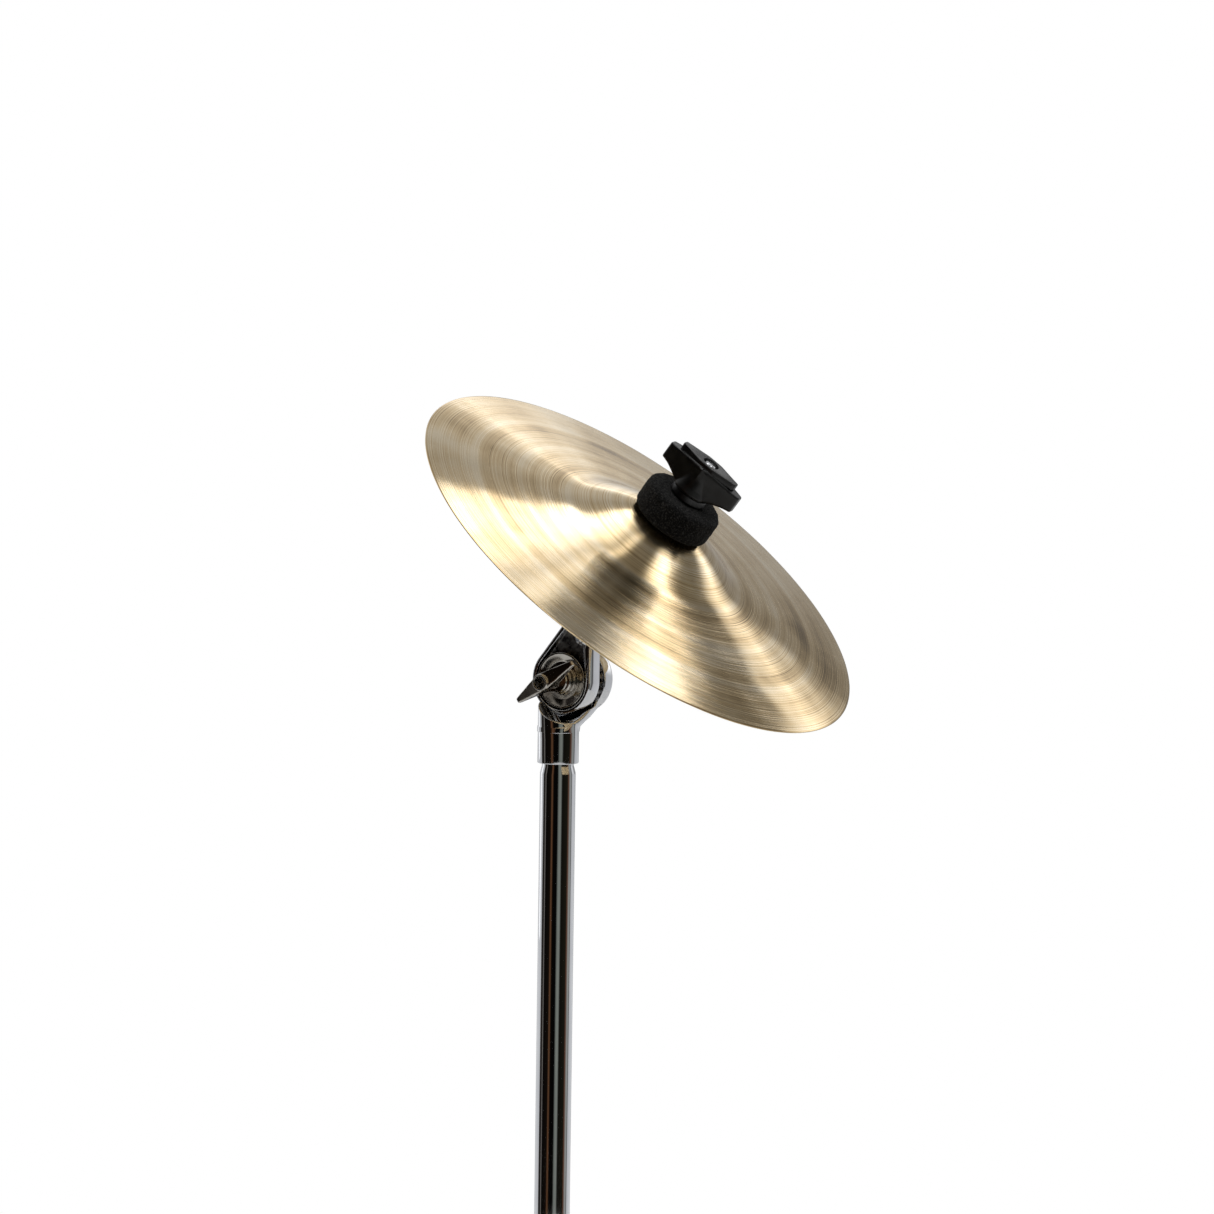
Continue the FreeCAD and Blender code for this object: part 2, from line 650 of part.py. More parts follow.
# ---- height adjustment
def height_clamp():
    """The die-cast clamp on top of the base tube, its nylon bushing and its wing bolt."""
    seat = "base_tube_top"
    bore = "bushing_radius + running_fit"
    ring = turned("clamp_ring", [
        ("base_tube_radius", "clamp_bottom"), ("clamp_radius - clamp_chamfer", "clamp_bottom"),
        ("clamp_radius", "clamp_bottom + clamp_chamfer"), ("clamp_radius", "clamp_top - clamp_chamfer"),
        ("clamp_radius - clamp_chamfer", "clamp_top"), (bore, "clamp_top"), (bore, seat),
        ("base_tube_radius", seat)])
    boss_height = "(base_tube_top + clamp_top) / 2"
    boss = cylinder("clamp_boss", "Y", "bolt_radius * boss_ratio", "bushing_radius + past", "clamp_boss_end",
                    ("0", boss_height))
    hole = cylinder("clamp_hole", "Y", "bolt_radius + running_fit", "middle_tube_radius",
                    "clamp_boss_end + past",
                    ("0", boss_height))
    subpart("height_clamp", cut("height_clamp_body", fuse("height_clamp_solid", ring, boss), hole), STAND)
    subpart("height_bushing", pipe("height_bushing_body", "bushing_radius",
                                   "middle_tube_radius + running_fit",
                                   "base_tube_top + sliding_gap", "clamp_top - sliding_gap"), STAND)
    wing_bolt("height_wing_bolt", "clamp_boss_end - bushing_radius - sliding_gap", "wing_span", STAND,
              step("0", "clamp_boss_end", boss_height), BACKWARD)


def middle_tube():
    inner = "middle_tube_radius - tube_wall"
    subpart("middle_tube", pipe("middle_tube_body", "middle_tube_radius", inner,
                                "middle_tube_bottom", "middle_tube_top"), STAND)


def memory_lock():
    """The split ring that rests on the clamp and keeps the height, with its key bolt."""
    ring = pipe("lock_ring", "lock_radius", "middle_tube_radius", "lock_bottom", "lock_bottom + lock_height")
    low, high = "lock_bottom", "lock_bottom + lock_height"
    at = ("lock_radius + lock_ear_reach / 2", f"{low} + lock_height / 2")
    side, key = "lock_ear_half_width", "lock_key / 2"
    ears = block("lock_ears", ("middle_tube_radius + past", "lock_radius + lock_ear_reach"),
                 (f"-{side}", side),
                 (f"{low} + past", f"{high} - past"))
    slit = block("lock_slit", ("middle_tube_radius - past", "lock_radius + lock_ear_reach + past"),
                 ("-lock_slit / 2", "lock_slit / 2"), (f"{low} - past", f"{high} + past"))
    hole = cylinder("lock_hole", "Y", key, f"-{side} - past", f"{side} + past", at)
    subpart("memory_lock", cut("memory_lock_body", fuse("memory_lock_solid", ring, ears), slit, hole), STAND)
    shank = cylinder("lock_bolt_shank", "Y", key, f"-{side} - past", f"{side} + past", at)
    flange = cylinder("lock_bolt_flange", "Y", "bolt_radius + past", side, f"{side} + chamfer", at)
    square = block("lock_bolt_square", (f"{at[0]} - {key}", f"{at[0]} + {key}"),
                   (f"{side} + past", f"{side} + lock_key + 2 * past"),
                   (f"{at[1]} - {key}", f"{at[1]} + {key}"))
    subpart("memory_lock_bolt", fuse("memory_lock_bolt_body", shank, flange, square), STAND)


# ---- boom joint
def boom_tilter_base():
    """The casting on the middle tube: a socket, a neck and a toothed disc whose axis lies along Y."""
    low, high = "middle_tube_top - boom_socket_depth", "middle_tube_top + boom_socket_cap"
    outside = "middle_tube_radius + boom_socket_wall"
    socket = turned("boom_socket", [
        ("middle_tube_radius", low), (f"{outside} - past", low), (outside, f"{low} + past"),
        (outside, f"{high} - boom_socket_cap / 2"), (f"{outside} - boom_socket_cap / 2", high), ("0", high),
        ("0", "middle_tube_top"), ("middle_tube_radius", "middle_tube_top")])
    face = "ratchet_face + ratchet_thickness + tooth_height"
    back = f"{face} + ratchet_thickness"
    disc = cylinder("boom_disc", "Y", "ratchet_radius", face, back, ("0", "boom_pivot"))
    foot_height = "middle_tube_top + boom_socket_cap / 3"
    neck = plate("boom_neck", "YZ", [
        ("-2 * past", foot_height), ("middle_tube_radius", foot_height),
        (back, "boom_pivot - ratchet_radius * 0.55"), (back, "boom_pivot"), (face, "boom_pivot"),
        (face, "boom_pivot - ratchet_radius * 0.8")], "-middle_tube_radius + past",
        "middle_tube_radius - past")
    ring = place(teeth("back_boom_teeth", f"{face} - tooth_height / 2 + sliding_gap / 2", face,
                       "boom_ring_inner", "boom_ring_outer"), step("0", "0", "boom_pivot"))
    hole = cylinder("boom_disc_hole", "Y", "bolt_radius + running_fit", f"{face} - tooth_height",
                    f"{back} + past",
                    ("0", "boom_pivot"))
    body = cut("boom_tilter_base_body", fuse("boom_tilter_base_solid", socket, disc, neck, ring), hole)
    subpart("boom_tilter_base", body, STAND)


def boom_tilter_clamp():
    """The casting that holds the boom: a toothed disc and a barrel whose bore lies along the boom."""
    face = "ratchet_face + ratchet_thickness"
    half = "barrel_height / 2"
    at = ("0", "boom_pivot")
    disc = cylinder("clamp_disc", "Y", "ratchet_radius", "ratchet_face", face, at)
    neck = cylinder("clamp_neck", "Y", "barrel_radius - past", "-boom_offset", "ratchet_face + past", at)
    barrel = cylinder("clamp_barrel", "Z", "barrel_radius", f"boom_pivot - {half}", f"boom_pivot + {half}",
                      ("0", "-boom_offset"))
    ring = place(teeth("front_boom_teeth", face, f"{face} + tooth_height / 2 - sliding_gap / 2",
                       "boom_ring_inner", "boom_ring_outer"), step("0", "0", "boom_pivot"))
    boss = cylinder("barrel_boss", "Y", "bolt_radius * boss_ratio", "-barrel_boss_end",
                    "-boom_offset - barrel_bushing_radius - past", at)
    bore = cylinder("barrel_bore", "Z", "barrel_bushing_radius + running_fit", f"boom_pivot - {half} - past",
                    f"boom_pivot + {half} + past", ("0", "-boom_offset"))
    bolt_hole = cylinder("clamp_bolt_hole", "Y", "bolt_radius", "-boom_offset",
                         f"{face} + 2 * tooth_height", at)
    head_hole = cylinder("clamp_head_hole", "Y", "bolt_radius * 1.8", "-boom_offset",
                         "ratchet_face + bolt_head_height", at)
    wing_hole = cylinder("clamp_wing_hole", "Y", "bolt_radius + running_fit", "-barrel_boss_end - past",
                         "-boom_offset", at)
    body = cut("boom_clamp_body", fuse("boom_clamp_solid", disc, neck, barrel, ring, boss),
               bore, bolt_hole, head_hole, wing_hole)
    subpart("boom_tilter_clamp", body, STAND)
    subpart("boom_bushing", pipe("boom_bushing_body", "barrel_bushing_radius",
                                 "boom_tube_radius + running_fit",
                                 f"boom_pivot - {half} + sliding_gap",
                                 f"boom_pivot + {half} - sliding_gap"), BOOM)
    shank_length = "barrel_radius + barrel_boss_rise - barrel_bushing_radius - sliding_gap"
    wing_bolt("boom_clamp_wing_bolt", shank_length, "wing_span", STAND,
              step("0", "-barrel_boss_end", "boom_pivot"),
              FRONTWARD)


def boom_tilter_fasteners():
    """The bolt through both discs, with its washer and wing nut at the back."""
    face = "ratchet_face + ratchet_thickness"
    back = f"{face} + tooth_height + ratchet_thickness"
    at, washer_back = ("0", "boom_pivot"), f"{back} + sliding_gap + washer_thickness"
    head = cylinder("boom_bolt_head", "Y", "bolt_radius * 1.75", "ratchet_face + edge_break / 2",
                    "ratchet_face + bolt_head_height", at)
    shank = cylinder("boom_bolt_shank", "Y", "bolt_radius", "ratchet_face + past",
                     f"{back} + boom_nut_front - 4 * past", at)
    subpart("boom_tilter_bolt", fuse("boom_bolt_body", head, shank), STAND)
    washer = cut("boom_washer_body",
                 cylinder("boom_washer_outer", "Y", "bolt_radius * 3", f"{back} + sliding_gap", washer_back,
                          at),
                 cylinder("boom_washer_hole", "Y", "bolt_radius", f"{back} - past", f"{washer_back} + past",
                          at))
    subpart("boom_tilter_washer", washer, STAND)
    seat = "2 * sliding_gap + washer_thickness"
    wing_nut("boom_tilter_wing_nut", "bolt_radius + running_fit", seat, "wing_span + boom_nut_spread",
             "boom_nut_front", STAND, step("0", back, "boom_pivot"), BACKWARD)


def boom_tube():
    """The boom arm: a plated tube, swaged at the top to go into the cymbal tilter."""
    wall = "tube_wall"
    tube = turned("boom_tube_body", [
        (f"boom_tube_radius - {wall}", "boom_bottom"), ("boom_tube_radius", "boom_bottom"),
        ("boom_tube_radius", "boom_shoulder - swage_length"),
        ("swage_radius + edge_break", "boom_shoulder - past"),
        ("swage_radius", "boom_shoulder"), ("swage_radius", "boom_shoulder + swage_depth"),
        (f"swage_radius - {wall}", "boom_shoulder + swage_depth"),
        (f"swage_radius - {wall}", "boom_shoulder"),
        (f"boom_tube_radius - {wall}", "boom_shoulder - swage_length")])
    subpart("boom_tube", tube, BOOM)
    inner = f"boom_tube_radius - {wall}"
    low, high = "boom_bottom - plug_flange + past", "boom_bottom + plug_depth"
    cap = turned("boom_cap_body", [
        ("0", low), ("boom_tube_radius - past", low), ("boom_tube_radius", f"{low} + past"),
        ("boom_tube_radius", "boom_bottom"), (inner, "boom_bottom"), (inner, high), ("0", high)])
    subpart("boom_end_cap", cap, BOOM)


# ---- cymbal tilter, in its own frame: hinge along Y
def cymbal_tilter_base():
    """The socket on the boom tube, its saddle under the hub, a slanted web and the toothed back disc."""
    socket = turned("tilter_socket", [
        ("0", "-socket_bottom"), ("socket_radius - edge_break", "-socket_bottom"),
        ("socket_radius", "-socket_bottom + edge_break"), ("socket_radius", "-socket_top"),
        ("0", "-socket_top")])
    bore = cylinder("tilter_bore", "Z", "swage_radius", "-socket_bottom - past",
                    "-socket_bottom + swage_depth")
    web_side, web_top = "socket_radius - chamfer", "-hub_radius + web_rise"
    web = plate("tilter_web", "YZ", [
        ("chamfer", "-socket_bottom + web_foot + 2 * past"),
        ("socket_radius - past", "-socket_bottom + web_foot"),
        ("disc_back", "-hub_radius + 2 * chamfer"), ("disc_back", web_top), ("disc_front", web_top),
        ("disc_front", "-hub_radius"), ("chamfer", "-hub_radius + chamfer")], f"-({web_side})", web_side)
    disc = cylinder("tilter_disc", "Y", "hub_radius", "disc_front", "disc_back")
    ring = teeth("back_tilter_teeth", "(hub_back + disc_front + sliding_gap) / 2", "disc_front",
                 "tooth_ring_inner",
                 "tooth_ring_outer")
    saddle = cylinder("tilter_saddle", "Y", "hub_radius + saddle_clearance", "-socket_radius - past",
                      "disc_front")
    hole = cylinder("tilter_disc_hole", "Y", "bolt_radius", "disc_front - past", "disc_back + past")
    head = cylinder("tilter_head_hole", "Y", "bolt_radius * 2", "disc_back - bolt_head_height",
                    "disc_back + past")
    body = cut("tilter_socket_cut", fuse("tilter_socket_solid", socket, web), saddle, bore)
    whole = cut("tilter_base_body", fuse("tilter_base_solid", body, disc, ring), hole, head)
    subpart("cymbal_tilter_base", whole, PIVOT)


def cymbal_tilter_arm():
    """The front half: a recessed hub whose rim runs on round an arm that carries the rod."""
    left, boss_left = "-hub_radius", "-rod_offset - rod_boss_radius"
    boss_right = "-rod_offset + rod_boss_radius"
    touch_x, touch_z = "hub_radius * cos(cymbal_tilt)", "hub_radius * sin(cymbal_tilt)"
    meet_z = f"{touch_z} + ({touch_x} - ({boss_right})) / tan(cymbal_tilt)"
    arm = plate("arm_plate", "XZ", [
        (left, "0"), (touch_x, touch_z), (boss_right, meet_z), (boss_right, "arm_length"),
        (boss_left, "arm_length"), (left, "arm_length - rod_boss_root")], "hub_front", "hub_back")
    hub = cylinder("arm_hub", "Y", "hub_radius", "hub_front", "hub_back")
    at, boss_end = ("-rod_offset", "arm_mid"), "arm_length + rod_boss_length"
    boss = cylinder("arm_boss", "Z", "rod_boss_radius", "arm_length - rod_boss_root", boss_end, at)
    boss_tip = cone("arm_boss_tip", "Z", "rod_boss_radius", "rod_boss_radius - chamfer", boss_end,
                    f"{boss_end} + rod_boss_tip", at)
    ring = teeth("front_tilter_teeth", "hub_back", "(hub_back + disc_front - sliding_gap) / 2",
                 "tooth_ring_inner",
                 "tooth_ring_outer")
    front, floor = "hub_front - past", "hub_front + recess_depth"
    inside, recess_top = f"{left} + arm_rim", "arm_length - recess_end"
    recess_hub = cylinder("arm_recess_hub", "Y", "hub_radius - arm_rim", front, floor)
    recess_arm = plate("arm_recess", "XZ", [
        (inside, "0"), (f"{touch_x} - arm_rim * 1.3", touch_z),
        (f"{boss_right} - arm_rim * 1.9", f"{meet_z} - 2 * chamfer"),
        (f"{boss_right} - arm_rim * 2.6", recess_top),
        (inside, recess_top)], front, floor)
    bolt_hole = cylinder("arm_bolt_hole", "Y", "bolt_radius + running_fit", "hub_front", "disc_front")
    rod_hole = cylinder("arm_rod_hole", "Z", "rod_radius", "rod_seat", f"{boss_end} + rod_boss_tip + past",
                        at)
    body = cut("arm_body", fuse("arm_solid", arm, hub, boss, boss_tip, ring), recess_hub, recess_arm,
               bolt_hole,
               rod_hole)
    subpart("cymbal_tilter_arm", body, PIVOT, step("0", "0", "0", "Y", "cymbal_tilt"))


def cymbal_tilter_fasteners():
    """The bolt held in the back disc, the dished washer in the recess and the wing nut."""
    seat = "hub_front + recess_depth"
    head = cylinder("tilter_bolt_head", "Y", "bolt_radius * 2 - running_fit", "disc_back - bolt_head_height",
                    "disc_back + edge_break")
    shank = cylinder("tilter_bolt_shank", "Y", "bolt_radius", f"{seat} - tilter_bolt_reach",
                     "disc_back - past")
    subpart("cymbal_tilter_bolt", fuse("tilter_bolt_body", head, shank), PIVOT)
    rim, hole = "tilter_washer_radius", "bolt_radius + running_fit"
    low, high = "sliding_gap", "sliding_gap + washer_thickness"
    washer = turned("tilter_washer_body", [
        (hole, low), ("rim_foot", low), (rim, f"{low} + washer_dish"), (rim, f"{low} + washer_dish + past"),
        ("rim_foot - edge_break", high), (hole, high)])
    subpart("cymbal_tilter_washer", washer, PIVOT, step("0", seat), FRONTWARD)
    wing_nut("cymbal_tilter_wing_nut", hole, f"{high} + sliding_gap", "tilter_nut_span",
             "recess_depth + tilter_nut_front", PIVOT, step("0", seat),
             step("0", "0", "0", "Y", "tilter_nut_turn"), FRONTWARD)


# ---- rod and cymbal, in the rod's frame: rod along Z
def cymbal_rod():
    rod = turned("rod_body", [
        ("0", "rod_seat"), ("rod_radius", "rod_seat"), ("rod_radius", "rod_end - past"),
        ("rod_radius - past", "rod_end"), ("0", "rod_end")])
    subpart("cymbal_rod", rod, *ROD)
    bore = "rod_radius"
    low, hub = "cup_bottom - cup_hub_height", f"{bore} + cup_hub_wall"
    cup = turned("cup_body", [
        (bore, low), (hub, low), (hub, "cup_bottom"), ("cup_radius", "cup_bottom"),
        ("cup_radius", "lower_felt_bottom"), (bore, "lower_felt_bottom")])
    subpart("cup_washer", cup, *ROD)
    sleeve = pipe("sleeve_body", "sleeve_radius", bore, "lower_felt_bottom", "nut_bottom - cup_hub_height")
    subpart("rod_sleeve", sleeve, *ROD)


def felt(label, low, high, radius, under_centre):
    """A felt washer with rounded edges, loose on the sleeve; its underside may be hollow in the middle."""
    soft, corner = "felt_round", "felt_round * 0.3"
    inner = "sleeve_radius + 2 * running_fit"
    ring = turned(label + "_body", [
        (inner, under_centre), (f"{radius} * 0.6", f"({low}) + (({under_centre}) - ({low})) * 0.7"),
        (f"{radius} - {soft}", low), (f"{radius} - {corner}", f"{low} + {corner}"),
        (radius, f"{low} + {soft}"),
        (radius, f"{high} - {soft}"), (f"{radius} - {corner}", f"{high} - {corner}"),
        (f"{radius} - {soft}", high),
        (inner, high)])
    subpart(label, ring, *ROD)


def upper_height(radius):
    """Height of the cymbal's upper face over its edge plane: a domed bell that blends into a shallow bow."""
    share = radius / value("cymbal_radius")
    bow = value("bow_height") * (1 - share ** 1.5)
    dome = value("cymbal_height") - radius ** 2 / (2 * value("bell_curve"))
    blend = value("bell_blend")
    centre_rise = blend ** 2 / value("cymbal_height - bow_height")
    fade = 1 - share ** 2
    return (bow + dome) / 2 + math.hypot((bow - dome) / 2, blend * fade) - centre_rise * fade


def cymbal():
    """The spun and hammered cymbal: one smooth curve turned about the rod, the same thickness all over."""
    hole, rim, edge = value("cymbal_hole_radius"), value("cymbal_radius"), value("cymbal_edge")
    stations = int(value("cymbal_stations"))
    radii = [hole + (rim - hole) * number / stations for number in range(stations + 1)]
    shift = Vector(0, 0, value("-cymbal_thickness"))
    top = [Vector(radius, 0, edge + upper_height(radius)) for radius in radii]
    upper, lower = Part.BSplineCurve(), Part.BSplineCurve()
    upper.interpolate(top)
    lower.interpolate([point + shift for point in top])
    ends = [Part.makeLine(top[0] + shift, top[0]), Part.makeLine(top[-1], top[-1] + shift)]
    face = Part.Face(Part.Wire([upper.toShape(), ends[1], lower.toShape(), ends[0]]))
    obj = doc.addObject("Part::Feature", "cymbal_solid")
    obj.Shape = face.revolve(Vector(0, 0, 0), Vector(0, 0, 1), 360)
    subpart("cymbal", obj, *ROD)


def cymbal_wing_nut():
    """The moulded wing nut: a collar, a flared flange, two wings and a raised diamond plate with the hole."""
    foot, bead = "nut_collar_radius", "nut_collar_bead"
    body_top = "nut_top - nut_plate_thickness + past / 2"
    collar_piece = turned("nut_collar", [
        ("0", "nut_bottom"), (foot, "nut_bottom"), (f"{foot} + {bead}", f"nut_bottom + {bead}"),
        (foot, "nut_bottom + nut_collar_height"),
        ("nut_flange_radius", "nut_bottom + nut_flange_height - past"),
        ("nut_flange_radius", "nut_bottom + nut_flange_height"),
        ("nut_body_radius", "nut_bottom + nut_body_height"),
        ("nut_body_radius", body_top), ("0", body_top)])
    wings = wing("nut_wings", "nut_span", "nut_wing_thickness", "nut_height - nut_wing_drop",
                 "nut_height - nut_wing_drop - edge_break", "nut_height - nut_wing_tip_back",
                 "nut_height - nut_wing_root_back")
    place(wings, step("0", "0", "nut_bottom"))
    span, side, tip = "nut_plate_span", "nut_plate_half_width", "nut_plate_tip"
    cap = plate("nut_cap", "XY", [
        (f"-{span}", f"-{tip}"), ("0", f"-{side}"), (span, f"-{tip}"), (span, tip), ("0", side),
        (f"-{span}", tip)], "nut_top - nut_plate_thickness", "nut_top")
    bore = cylinder("nut_bore", "Z", "rod_radius + running_fit", "nut_bottom - past", "nut_top + past")
    body = cut("nut_body", fuse("nut_solid", collar_piece, wings, cap), bore)
    subpart("cymbal_wing_nut", body, *ROD, step("0", "0", "0", "Z", "nut_turn"))


base_tube()
bottom_collar()
leg_collar()
for leg_number in (1, 2, 3):
    leg(leg_number)
    brace(leg_number)
height_clamp()
middle_tube()
memory_lock()
boom_tilter_base()
boom_tilter_clamp()
boom_tilter_fasteners()
boom_tube()
cymbal_tilter_base()
cymbal_tilter_arm()
cymbal_tilter_fasteners()
cymbal_rod()
felt("lower_felt", "lower_felt_bottom", "lower_felt_top", "lower_felt_radius", "lower_felt_bottom")
cymbal()
felt("upper_felt", "felt_bottom + sliding_gap", "nut_bottom", "felt_radius", "bell_top + 2 * sliding_gap")
cymbal_wing_nut()
doc.recompute()

# ---- checks and export
for item in doc.Objects:
    if "Invalid" in item.State or "Error" in item.State:
        raise RuntimeError(f"{item.Label} did not rebuild: {item.State}")
os.makedirs("parts", exist_ok=True)
for item in SUBPARTS:
    shape = item.Shape
    if shape.isNull() or not shape.isValid() or not shape.Solids:
        raise RuntimeError(f"{item.Label} is not a sound solid")
    shape.exportStep(os.path.join("parts", item.Label + ".step"))
print(len(SUBPARTS), "sub-parts written")
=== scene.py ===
# %% [markdown]
# # A cymbal boom stand, finished in Blender
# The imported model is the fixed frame: it says where every piece is and how it moves. This lesson gives
# each piece the form and the finish of the real one. Metal castings get rounded edges, the cymbal gets its
# lathe marks, the felts get their nap, and everything rides on the body that carries it.

# %% Load the frame
import json
import math
import bpy
from mathutils import Matrix, Vector, noise


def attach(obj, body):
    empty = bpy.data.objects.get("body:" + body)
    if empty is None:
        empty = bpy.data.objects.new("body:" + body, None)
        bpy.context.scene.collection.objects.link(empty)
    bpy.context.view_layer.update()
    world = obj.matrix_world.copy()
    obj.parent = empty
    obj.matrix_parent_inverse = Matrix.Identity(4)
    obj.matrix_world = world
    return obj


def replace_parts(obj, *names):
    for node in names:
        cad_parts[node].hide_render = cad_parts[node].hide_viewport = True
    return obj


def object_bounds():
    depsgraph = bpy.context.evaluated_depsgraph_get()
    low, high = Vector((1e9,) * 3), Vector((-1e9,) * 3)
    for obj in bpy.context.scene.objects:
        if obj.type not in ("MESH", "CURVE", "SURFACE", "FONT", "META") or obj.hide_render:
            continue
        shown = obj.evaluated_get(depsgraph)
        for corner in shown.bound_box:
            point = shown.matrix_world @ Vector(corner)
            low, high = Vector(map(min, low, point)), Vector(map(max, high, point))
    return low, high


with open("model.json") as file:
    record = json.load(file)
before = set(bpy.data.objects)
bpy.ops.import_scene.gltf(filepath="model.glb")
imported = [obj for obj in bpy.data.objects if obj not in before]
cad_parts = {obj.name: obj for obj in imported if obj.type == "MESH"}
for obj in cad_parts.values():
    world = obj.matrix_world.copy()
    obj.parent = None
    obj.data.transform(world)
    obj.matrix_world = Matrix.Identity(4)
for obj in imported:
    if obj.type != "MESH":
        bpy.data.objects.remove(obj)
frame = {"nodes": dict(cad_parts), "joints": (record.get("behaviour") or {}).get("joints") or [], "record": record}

CAD_BOX = [list(corner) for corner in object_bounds()]
MM = 0.001
print("the CAD model's box in metres:", CAD_BOX)

# %% [markdown]
# ## Places taken from the joints
# Nothing is placed by eye. The cymbal tilter's hinge and the rod's axis are joints of the frame, so each
# small coordinate system below is built from a joint's point and axis. A piece is then drawn in plain
# millimetres about its own axis and carried to its place by one matrix.

# %% Coordinate systems of the tilters and the rod
JOINTS = {joint["name"]: joint for joint in frame["joints"]}


def system(origin, along, across=(0, 1, 0)):
    """A matrix with its Z axis along one direction and its Y axis near another, at a point in metres."""
    z_axis = Vector(along).normalized()
    across = Vector(across)
    y_axis = (across - z_axis * z_axis.dot(across)).normalized()
    turn = Matrix((y_axis.cross(z_axis), y_axis, z_axis)).transposed().to_4x4()
    return Matrix.Translation(origin) @ turn


def shifted(matrix, x=0, y=0, z=0):
    """The same coordinate system, moved along its own axes by millimetres."""
    return matrix @ Matrix.Translation(Vector((x, y, z)) * MM)


EDGE_FROM_PIVOT = 77.7
FRONTWARD = Matrix.Rotation(math.radians(90), 4, "X")
BACKWARD = Matrix.Rotation(math.radians(-90), 4, "X")
HINGE = system(JOINTS["cymbal_tilt"]["pos_m"], (0, 0, 1))
ROD_AXIS = JOINTS["cymbal_spin"]["axis"]
ARM = system(JOINTS["cymbal_tilt"]["pos_m"], ROD_AXIS)
ROD = shifted(system(JOINTS["cymbal_spin"]["pos_m"], ROD_AXIS), z=-EDGE_FROM_PIVOT)
TILT = math.atan2(ROD_AXIS[0], ROD_AXIS[2])
print("cymbal tilt in degrees:", round(math.degrees(TILT), 1))

# %% [markdown]
# ## Building blocks for meshes
# Almost every part of a stand is turned, cast or bent, so three tools are enough. A lathe turns a rounded
# profile. A stack joins outlines that follow each other, which gives castings with soft edges. A rounding
# function replaces each corner by a short arc: real edges are never sharp, and that thin bright line is what
# makes metal look like metal.


# %% Rounded outlines
def rounded(corners, closed=True, steps=5):
    """Replace each corner (a, b, radius) of an outline by an arc of that radius."""
    points = []
    count = len(corners)
    for index, (a, b, radius) in enumerate(corners):
        here = Vector((a, b))
        at_end = not closed and index in (0, count - 1)
        if radius <= 0 or at_end:
            points.append((a, b))
            continue
        before = Vector(corners[index - 1][:2]) - here
        after = Vector(corners[(index + 1) % count][:2]) - here
        half = before.angle(after) / 2
        reach = min(radius / math.tan(half), before.length * 0.49, after.length * 0.49)
        start, end = here + before.normalized() * reach, here + after.normalized() * reach
        for step in range(steps + 1):
            share = step / steps
            blend = start.lerp(here, share).lerp(here.lerp(end, share), share)
            points.append((blend.x, blend.y))
    return points


def resampled(points, count):
    """A closed outline as a given number of evenly spaced points."""
    loop = [Vector(point) for point in points] + [Vector(points[0])]
    lengths = [(b - a).length for a, b in zip(loop, loop[1:])]
    total, result, index, done = sum(lengths), [], 0, 0.0
    for number in range(count):
        target = total * number / count
        while done + lengths[index] < target:
            done += lengths[index]
            index += 1
        share = (target - done) / max(lengths[index], 1e-9)
        result.append(tuple(loop[index].lerp(loop[index + 1], share)))
    return result


def inset(points, distance):
    """A closed counter-clockwise outline moved inwards by a distance."""
    moved = []
    for index, point in enumerate(points):
        before, after = Vector(points[index - 1]), Vector(points[(index + 1) % len(points)])
        along = (after - before).normalized()
        moved.append((point[0] - along.y * distance, point[1] + along.x * distance))
    return moved


print("a rounded square has", len(rounded([(0, 0, 1), (9, 0, 1), (9, 9, 1), (0, 9, 1)])), "points")


# %% Meshes from loops
def mesh_object(name, vertices, faces, matrix, sharp=40):
    """A smooth-shaded object, drawn in millimetres and standing in its own coordinate system."""
    mesh = bpy.data.meshes.new(name)
    mesh.from_pydata([Vector(vertex) * MM for vertex in vertices], [], faces)
    mesh.validate()
    mesh.shade_smooth()
    mesh.set_sharp_from_angle(angle=math.radians(sharp))
    obj = bpy.data.objects.new(name, mesh)
    bpy.context.scene.collection.objects.link(obj)
    obj.matrix_world = matrix
    return obj


def bridged(loops, closed_along=False, caps=True):
    """Vertices and faces of loops of equal length, joined one to the next."""
    size = len(loops[0])
    vertices = [point for loop in loops for point in loop]
    faces = []
    rows = len(loops) if closed_along else len(loops) - 1
    for row in range(rows):
        low, high = row * size, ((row + 1) % len(loops)) * size
        for index in range(size):
            following = (index + 1) % size
            faces.append((low + index, low + following, high + following, high + index))
    if caps and not closed_along:
        faces.append(tuple(reversed(range(size))))
        faces.append(tuple(range((len(loops) - 1) * size, len(loops) * size)))
    return vertices, faces


def circle(radius, height, segments=96):
    """A ring of points about Z."""
    turns = [2 * math.pi * index / segments for index in range(segments)]
    return [(radius * math.cos(turn), radius * math.sin(turn), height) for turn in turns]


def lathe(name, corners, matrix, closed=True, segments=96, steps=5, sharp=40):
    """Turn a profile of (radius, height, rounding) corners about Z."""
    profile = rounded(corners, closed, steps)
    loops = [circle(max(radius, 0.02), height, segments) for radius, height in profile]
    vertices, faces = bridged(loops, closed_along=closed)
    return mesh_object(name, vertices, faces, matrix, sharp)


def stack(name, layers, matrix, sharp=40):
    """Join outlines given as (outline, height) layers, drawn in XY and stacked along Z."""
    loops = [[(a, b, height) for a, b in outline] for outline, height in layers]
    vertices, faces = bridged(loops)
    return mesh_object(name, vertices, faces, matrix, sharp)


def joined(name, *objects):
    """One object from several that were cast or moulded in one piece."""
    first = objects[0]
    inverse = first.matrix_world.inverted()
    vertices, faces, sharp = [], [], []
    for obj in objects:
        start = len(vertices)
        carry = inverse @ obj.matrix_world
        vertices += [tuple(carry @ vertex.co / MM) for vertex in obj.data.vertices]
        faces += [tuple(start + index for index in face.vertices) for face in obj.data.polygons]
    whole = mesh_object(name, vertices, faces, first.matrix_world.copy())
    for obj in objects:
        bpy.data.objects.remove(obj)
    return whole


